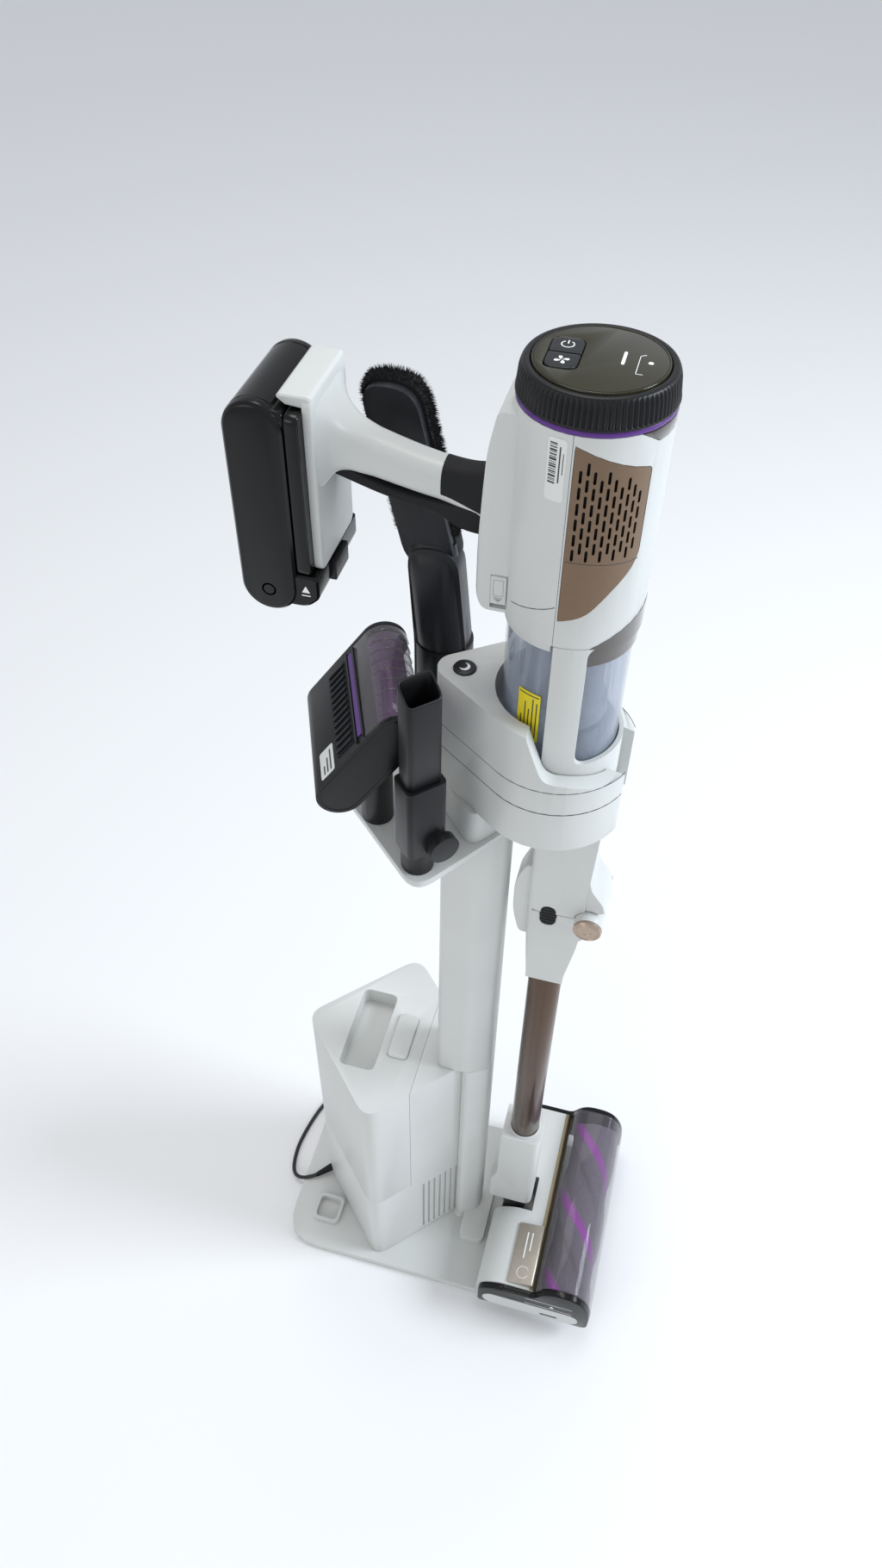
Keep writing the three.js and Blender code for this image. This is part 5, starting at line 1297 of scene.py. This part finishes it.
def duster_outline(margin):
    """The blade head's outline in (y, z), grown by a margin."""
    width = 20 + margin
    y, z = DUSTER[1], DUSTER[2]
    return softened([(y + 8 - width, z + 200 - margin, 20), (y + 42 - width, z + 345 + margin, 18),
                     (y + 42 + width, z + 345 + margin, 18), (y + 8 + width, z + 200 - margin, 20)], 24)


def bristle_hairs(low, high):
    """Hairs stand out from the core pad's edge: thin three-sided spikes along the outline's normals."""
    random = np.random.default_rng(7)
    edge = duster_outline(1.5)
    closed = np.vstack([edge, edge[:1]])
    length = np.concatenate([[0], np.cumsum(np.linalg.norm(np.diff(closed, axis=0), axis=1))])
    at = random.uniform(0, length[-1], HAIR_COUNT)
    foot = np.stack([np.interp(at, length, closed[:, i]) for i in range(2)], axis=-1)
    beyond = (at + 1.5) % length[-1]
    ahead = np.stack([np.interp(beyond, length, closed[:, i]) for i in range(2)], axis=-1) - foot
    ahead /= np.linalg.norm(ahead, axis=1)[:, None] + 1e-9
    normal = np.stack([ahead[:, 1], -ahead[:, 0]], axis=-1)
    normal *= np.sign(np.sum(normal * (foot - edge.mean(axis=0)), axis=1))[:, None]
    keep = foot[:, 1] > low[2] + 2
    foot, normal, ahead = foot[keep], normal[keep], ahead[keep]
    count = len(foot)
    across_head = random.uniform(low[0] + 0.6, high[0] - 0.6, count)
    reach = random.uniform(3.6, 5.2, count)
    lean = random.uniform(-0.25, 0.25, (count, 2))
    spin = random.uniform(0, 2 * np.pi, count)[:, None] + np.array([0, 2.094, 4.189])[None, :]
    aside = HAIR_RADIUS * np.sin(spin)
    root = np.stack([across_head[:, None] + HAIR_RADIUS * np.cos(spin), foot[:, :1] + aside * ahead[:, :1],
                     foot[:, 1:] + aside * ahead[:, 1:]], axis=-1)
    swept = foot + reach[:, None] * normal + lean[:, 1:] * ahead * 3
    tip = np.column_stack([np.clip(across_head + lean[:, 0] * 2, low[0] + 0.1, high[0] - 0.1), swept])
    points = np.concatenate([root, tip[:, None, :]], axis=1).reshape(-1, 3)
    start = 4 * np.arange(count)[:, None, None]
    faces = (start + np.array([[0, 1, 3], [1, 2, 3], [2, 0, 3], [2, 1, 0]])[None]).reshape(-1, 3).tolist()
    mesh = bpy.data.meshes.new("bristle_hairs")
    mesh.from_pydata((points * MM).tolist(), [], faces)
    finish_piece("bristle_hairs", mesh, BRISTLE, "duster", "bristle")


def duster_stem():
    """The stem: superellipse sections that narrow and lean back between the round foot and the flat head."""
    along = np.linspace(96, 222, 44)
    wide = blend_between((96, 128, 170, 200, 214, 222), (22.5, 22.2, 19.5, 17, 12.5, 9.3), along)
    deep = blend_between((96, 128, 170, 200, 222), (22.5, 22.2, 21, 20.2, 19.6), along)
    lean = blend_between((96, 128, 200, 222), (0, 0.4, 8, 11), along)
    u, v = superellipse(wide, deep, np.interp(along, [96, 128, 222], [2.0, 2.1, 3.0]), 56)
    stem = np.stack([DUSTER[0] + u, DUSTER[1] + lean[:, None] + v,
                     np.repeat(DUSTER[2] + along[:, None], 56, axis=1)], axis=-1)
    piece("duster_stem", tube(stem), SATIN, "duster", "satin_black")


def duster_marks():
    """The parting line round the duster's foot, with an arrow above it and one below it."""
    base = on_round(22.65, -1, (DUSTER[0], DUSTER[1]))
    z = DUSTER[2] + 116
    seam = line_on(base, np.column_stack([np.linspace(-36, 36, 40), np.full(40, z)]), 0.6)
    piece("duster_seam", seam, INK, "duster", "satin_black")
    arrows = []
    for level, tip, way in ((z + 6, 9, 1), (z - 6, -27, -1)):
        arrows.append(patch(base, -23, 5, level - 0.55, level + 0.55, 0.15, 0, 12))
        back = tip - 5 * way
        arrows.append(mark(base, np.array([[tip, level], [back, level + 2.4], [back, level - 2.4]]), 0.2))
    piece("duster_arrows", gather(*arrows), ICON, "duster", "satin_black")


def duster():
    """The duster: its foot, a core pad with hairs round its edge, the stem and the marks."""
    refined("duster_body", SATIN, 2.2)
    low, high = box("duster_bristles")
    core = pushed(duster_outline(2.5), "x", (low[0] + 1, 1), (low[0] + 2.5, 0), (high[0] - 2.5, 0),
                  (high[0] - 1, 1))
    piece("bristle_core", core, BRISTLE, "duster", "bristle", ("duster_bristles",), 0.4)
    bristle_hairs(low, high)
    duster_stem()
    duster_marks()


# The pet tool's own directions: along its brush, back across it, and up and out from its leaning body.
PET_TURN = 0.4
PET_ALONG = np.array([math.cos(PET_TURN), math.sin(PET_TURN), 0.0])
PET_BACK = np.array([-math.sin(PET_TURN), math.cos(PET_TURN), 0.0])
PET_RADIUS, PET_HALF = 19.0, 56.0
PET_FOOT = np.array([-27.0, 151.0, box("pet_tool_housing")[0][2]])
PET_LOW = PET_FOOT + PET_BACK * 23.0 + np.array([0, 0, 78.0])
PET_HIGH = PET_FOOT + PET_BACK * -23.0 + np.array([0, 0, 136.0])
PET_RISE = (PET_HIGH - PET_LOW) / np.linalg.norm(PET_HIGH - PET_LOW)
PET_OUT = np.cross(PET_RISE, PET_ALONG)
PET_OUT *= np.sign(PET_OUT[1])


def pet_back():
    """On the leaning back: a bed of fins, a purple strip between two lips, and a label with plain bars."""
    origin = PET_LOW + PET_OUT * PET_RADIUS

    def back_face(u, v, lift):
        return (origin + np.asarray(u)[..., None] * PET_ALONG + np.asarray(v)[..., None] * PET_RISE
                + lift * PET_OUT)

    def show(name, shells, material, bevel=0.0):
        piece(name, gather(*shells), material, "pet_tool", "satin_black", bevel=bevel)

    show("pet_fin_bed", [patch(back_face, -46, 46, 24, 47, 0.5, 2, 8, 0.8)], RUBBER, 0.3)
    show("pet_fins", [patch(back_face, u - 0.8, u + 0.8, 26, 45, 2.2, 0, 3, 0.2)
                      for u in np.linspace(-42, 42, 13)], SATIN, 0.3)
    show("pet_brush_strip", [patch(back_face, -46, 46, 51, 56, 0.9, 1, 10, 0.4)], PURPLE, 0.4)
    show("pet_lips", [patch(back_face, -50, 50, v, v + 2.0, 1.6, 0, 4, 0.4) for v in (48.2, 56.8)], SATIN,
         0.4)
    show("pet_label", [patch(back_face, -52, -24, 3, 20, 0.2, 2)], PALE)
    show("pet_label_bars", [patch(back_face, -49, end, v, v + 1.6, 0.3, 0, 3)
                            for v, end in ((15, -28), (11, -34), (7, -40))], INK)


def pet_cover_ribs():
    """Thin ribs round the upper part of the clear cover, each an arc about the cover's upper axis."""
    start = math.atan2(PET_OUT[2], float(np.dot(PET_OUT, PET_BACK)))
    arc = (np.linspace(0.25, np.pi - 0.55, 24) + start - 0.1)[:, None]
    ribs = []
    for u in np.linspace(-46, 46, 9):
        ring = (PET_HIGH + PET_ALONG * u + np.cos(arc) * PET_BACK * PET_RADIUS
                + np.sin(arc) * np.array([0, 0, PET_RADIUS]))
        ribs.append(hose(ring[ring[:, 2] > PET_HIGH[2] + 1.0], 0.8, 8))
    piece("pet_cover_ribs", gather(*ribs), SMOKY_THIN, "pet_tool", "smoky_clear")


def pet_end_ring(name, sign):
    """A thin raised line with round ends on one end of the housing."""
    face = (PET_LOW + PET_HIGH) / 2 + PET_ALONG * sign * PET_HALF
    reach = np.linalg.norm(PET_HIGH - PET_LOW) / 2
    sections = []
    for margin, lift in ((2.5, -0.2), (2.5, 0.25), (3.3, 0.25), (3.3, -0.2)):
        outline = pill(-reach, 0, reach, 0, PET_RADIUS - margin, 24)
        sections.append(face + outline[:, :1] * PET_RISE + outline[:, 1:] * PET_OUT + lift * sign * PET_ALONG)
    piece("pet_end_ring_" + name, tube(np.stack(sections), ring=True), GLOSS, "pet_tool", "satin_black")


def pet_tool():
    """The pet tool: housing, clear cover and brush roll, with the details on its back and ends."""
    refined_all(("pet_tool_housing", BLACK, 0.9), ("pet_tool_cover", SMOKY_THIN, 0.4))
    pet_back()
    pet_cover_ribs()
    pet_end_ring("near", -1)
    pet_end_ring("far", 1)
    low, high = box("pet_brush_roll")
    middle = (low + high) / 2
    cloth = fabric_roll("pet_roll_cloth", (0.20, 0.02, 0.26), (0.36, 0.10, 0.44), middle[1] * MM,
                        middle[2] * MM, 60.0)
    refined("pet_brush_roll", cloth, 0.6)


def crevice_tools():
    """The crevice tool and the holder it stands in."""
    refined_all(("tool_holder", BLACK, 1.2), ("crevice_tool", BLACK, 1.0))


mains_cord()
grip_dial()
display()
keys()
body_housing()
cup_slider()
dust_cup()
cyclone()
cup_trim()
handle_grip()
face_plate()
battery()
wand()
nozzle()
dock()
pet_tool()
crevice_tools()
duster()
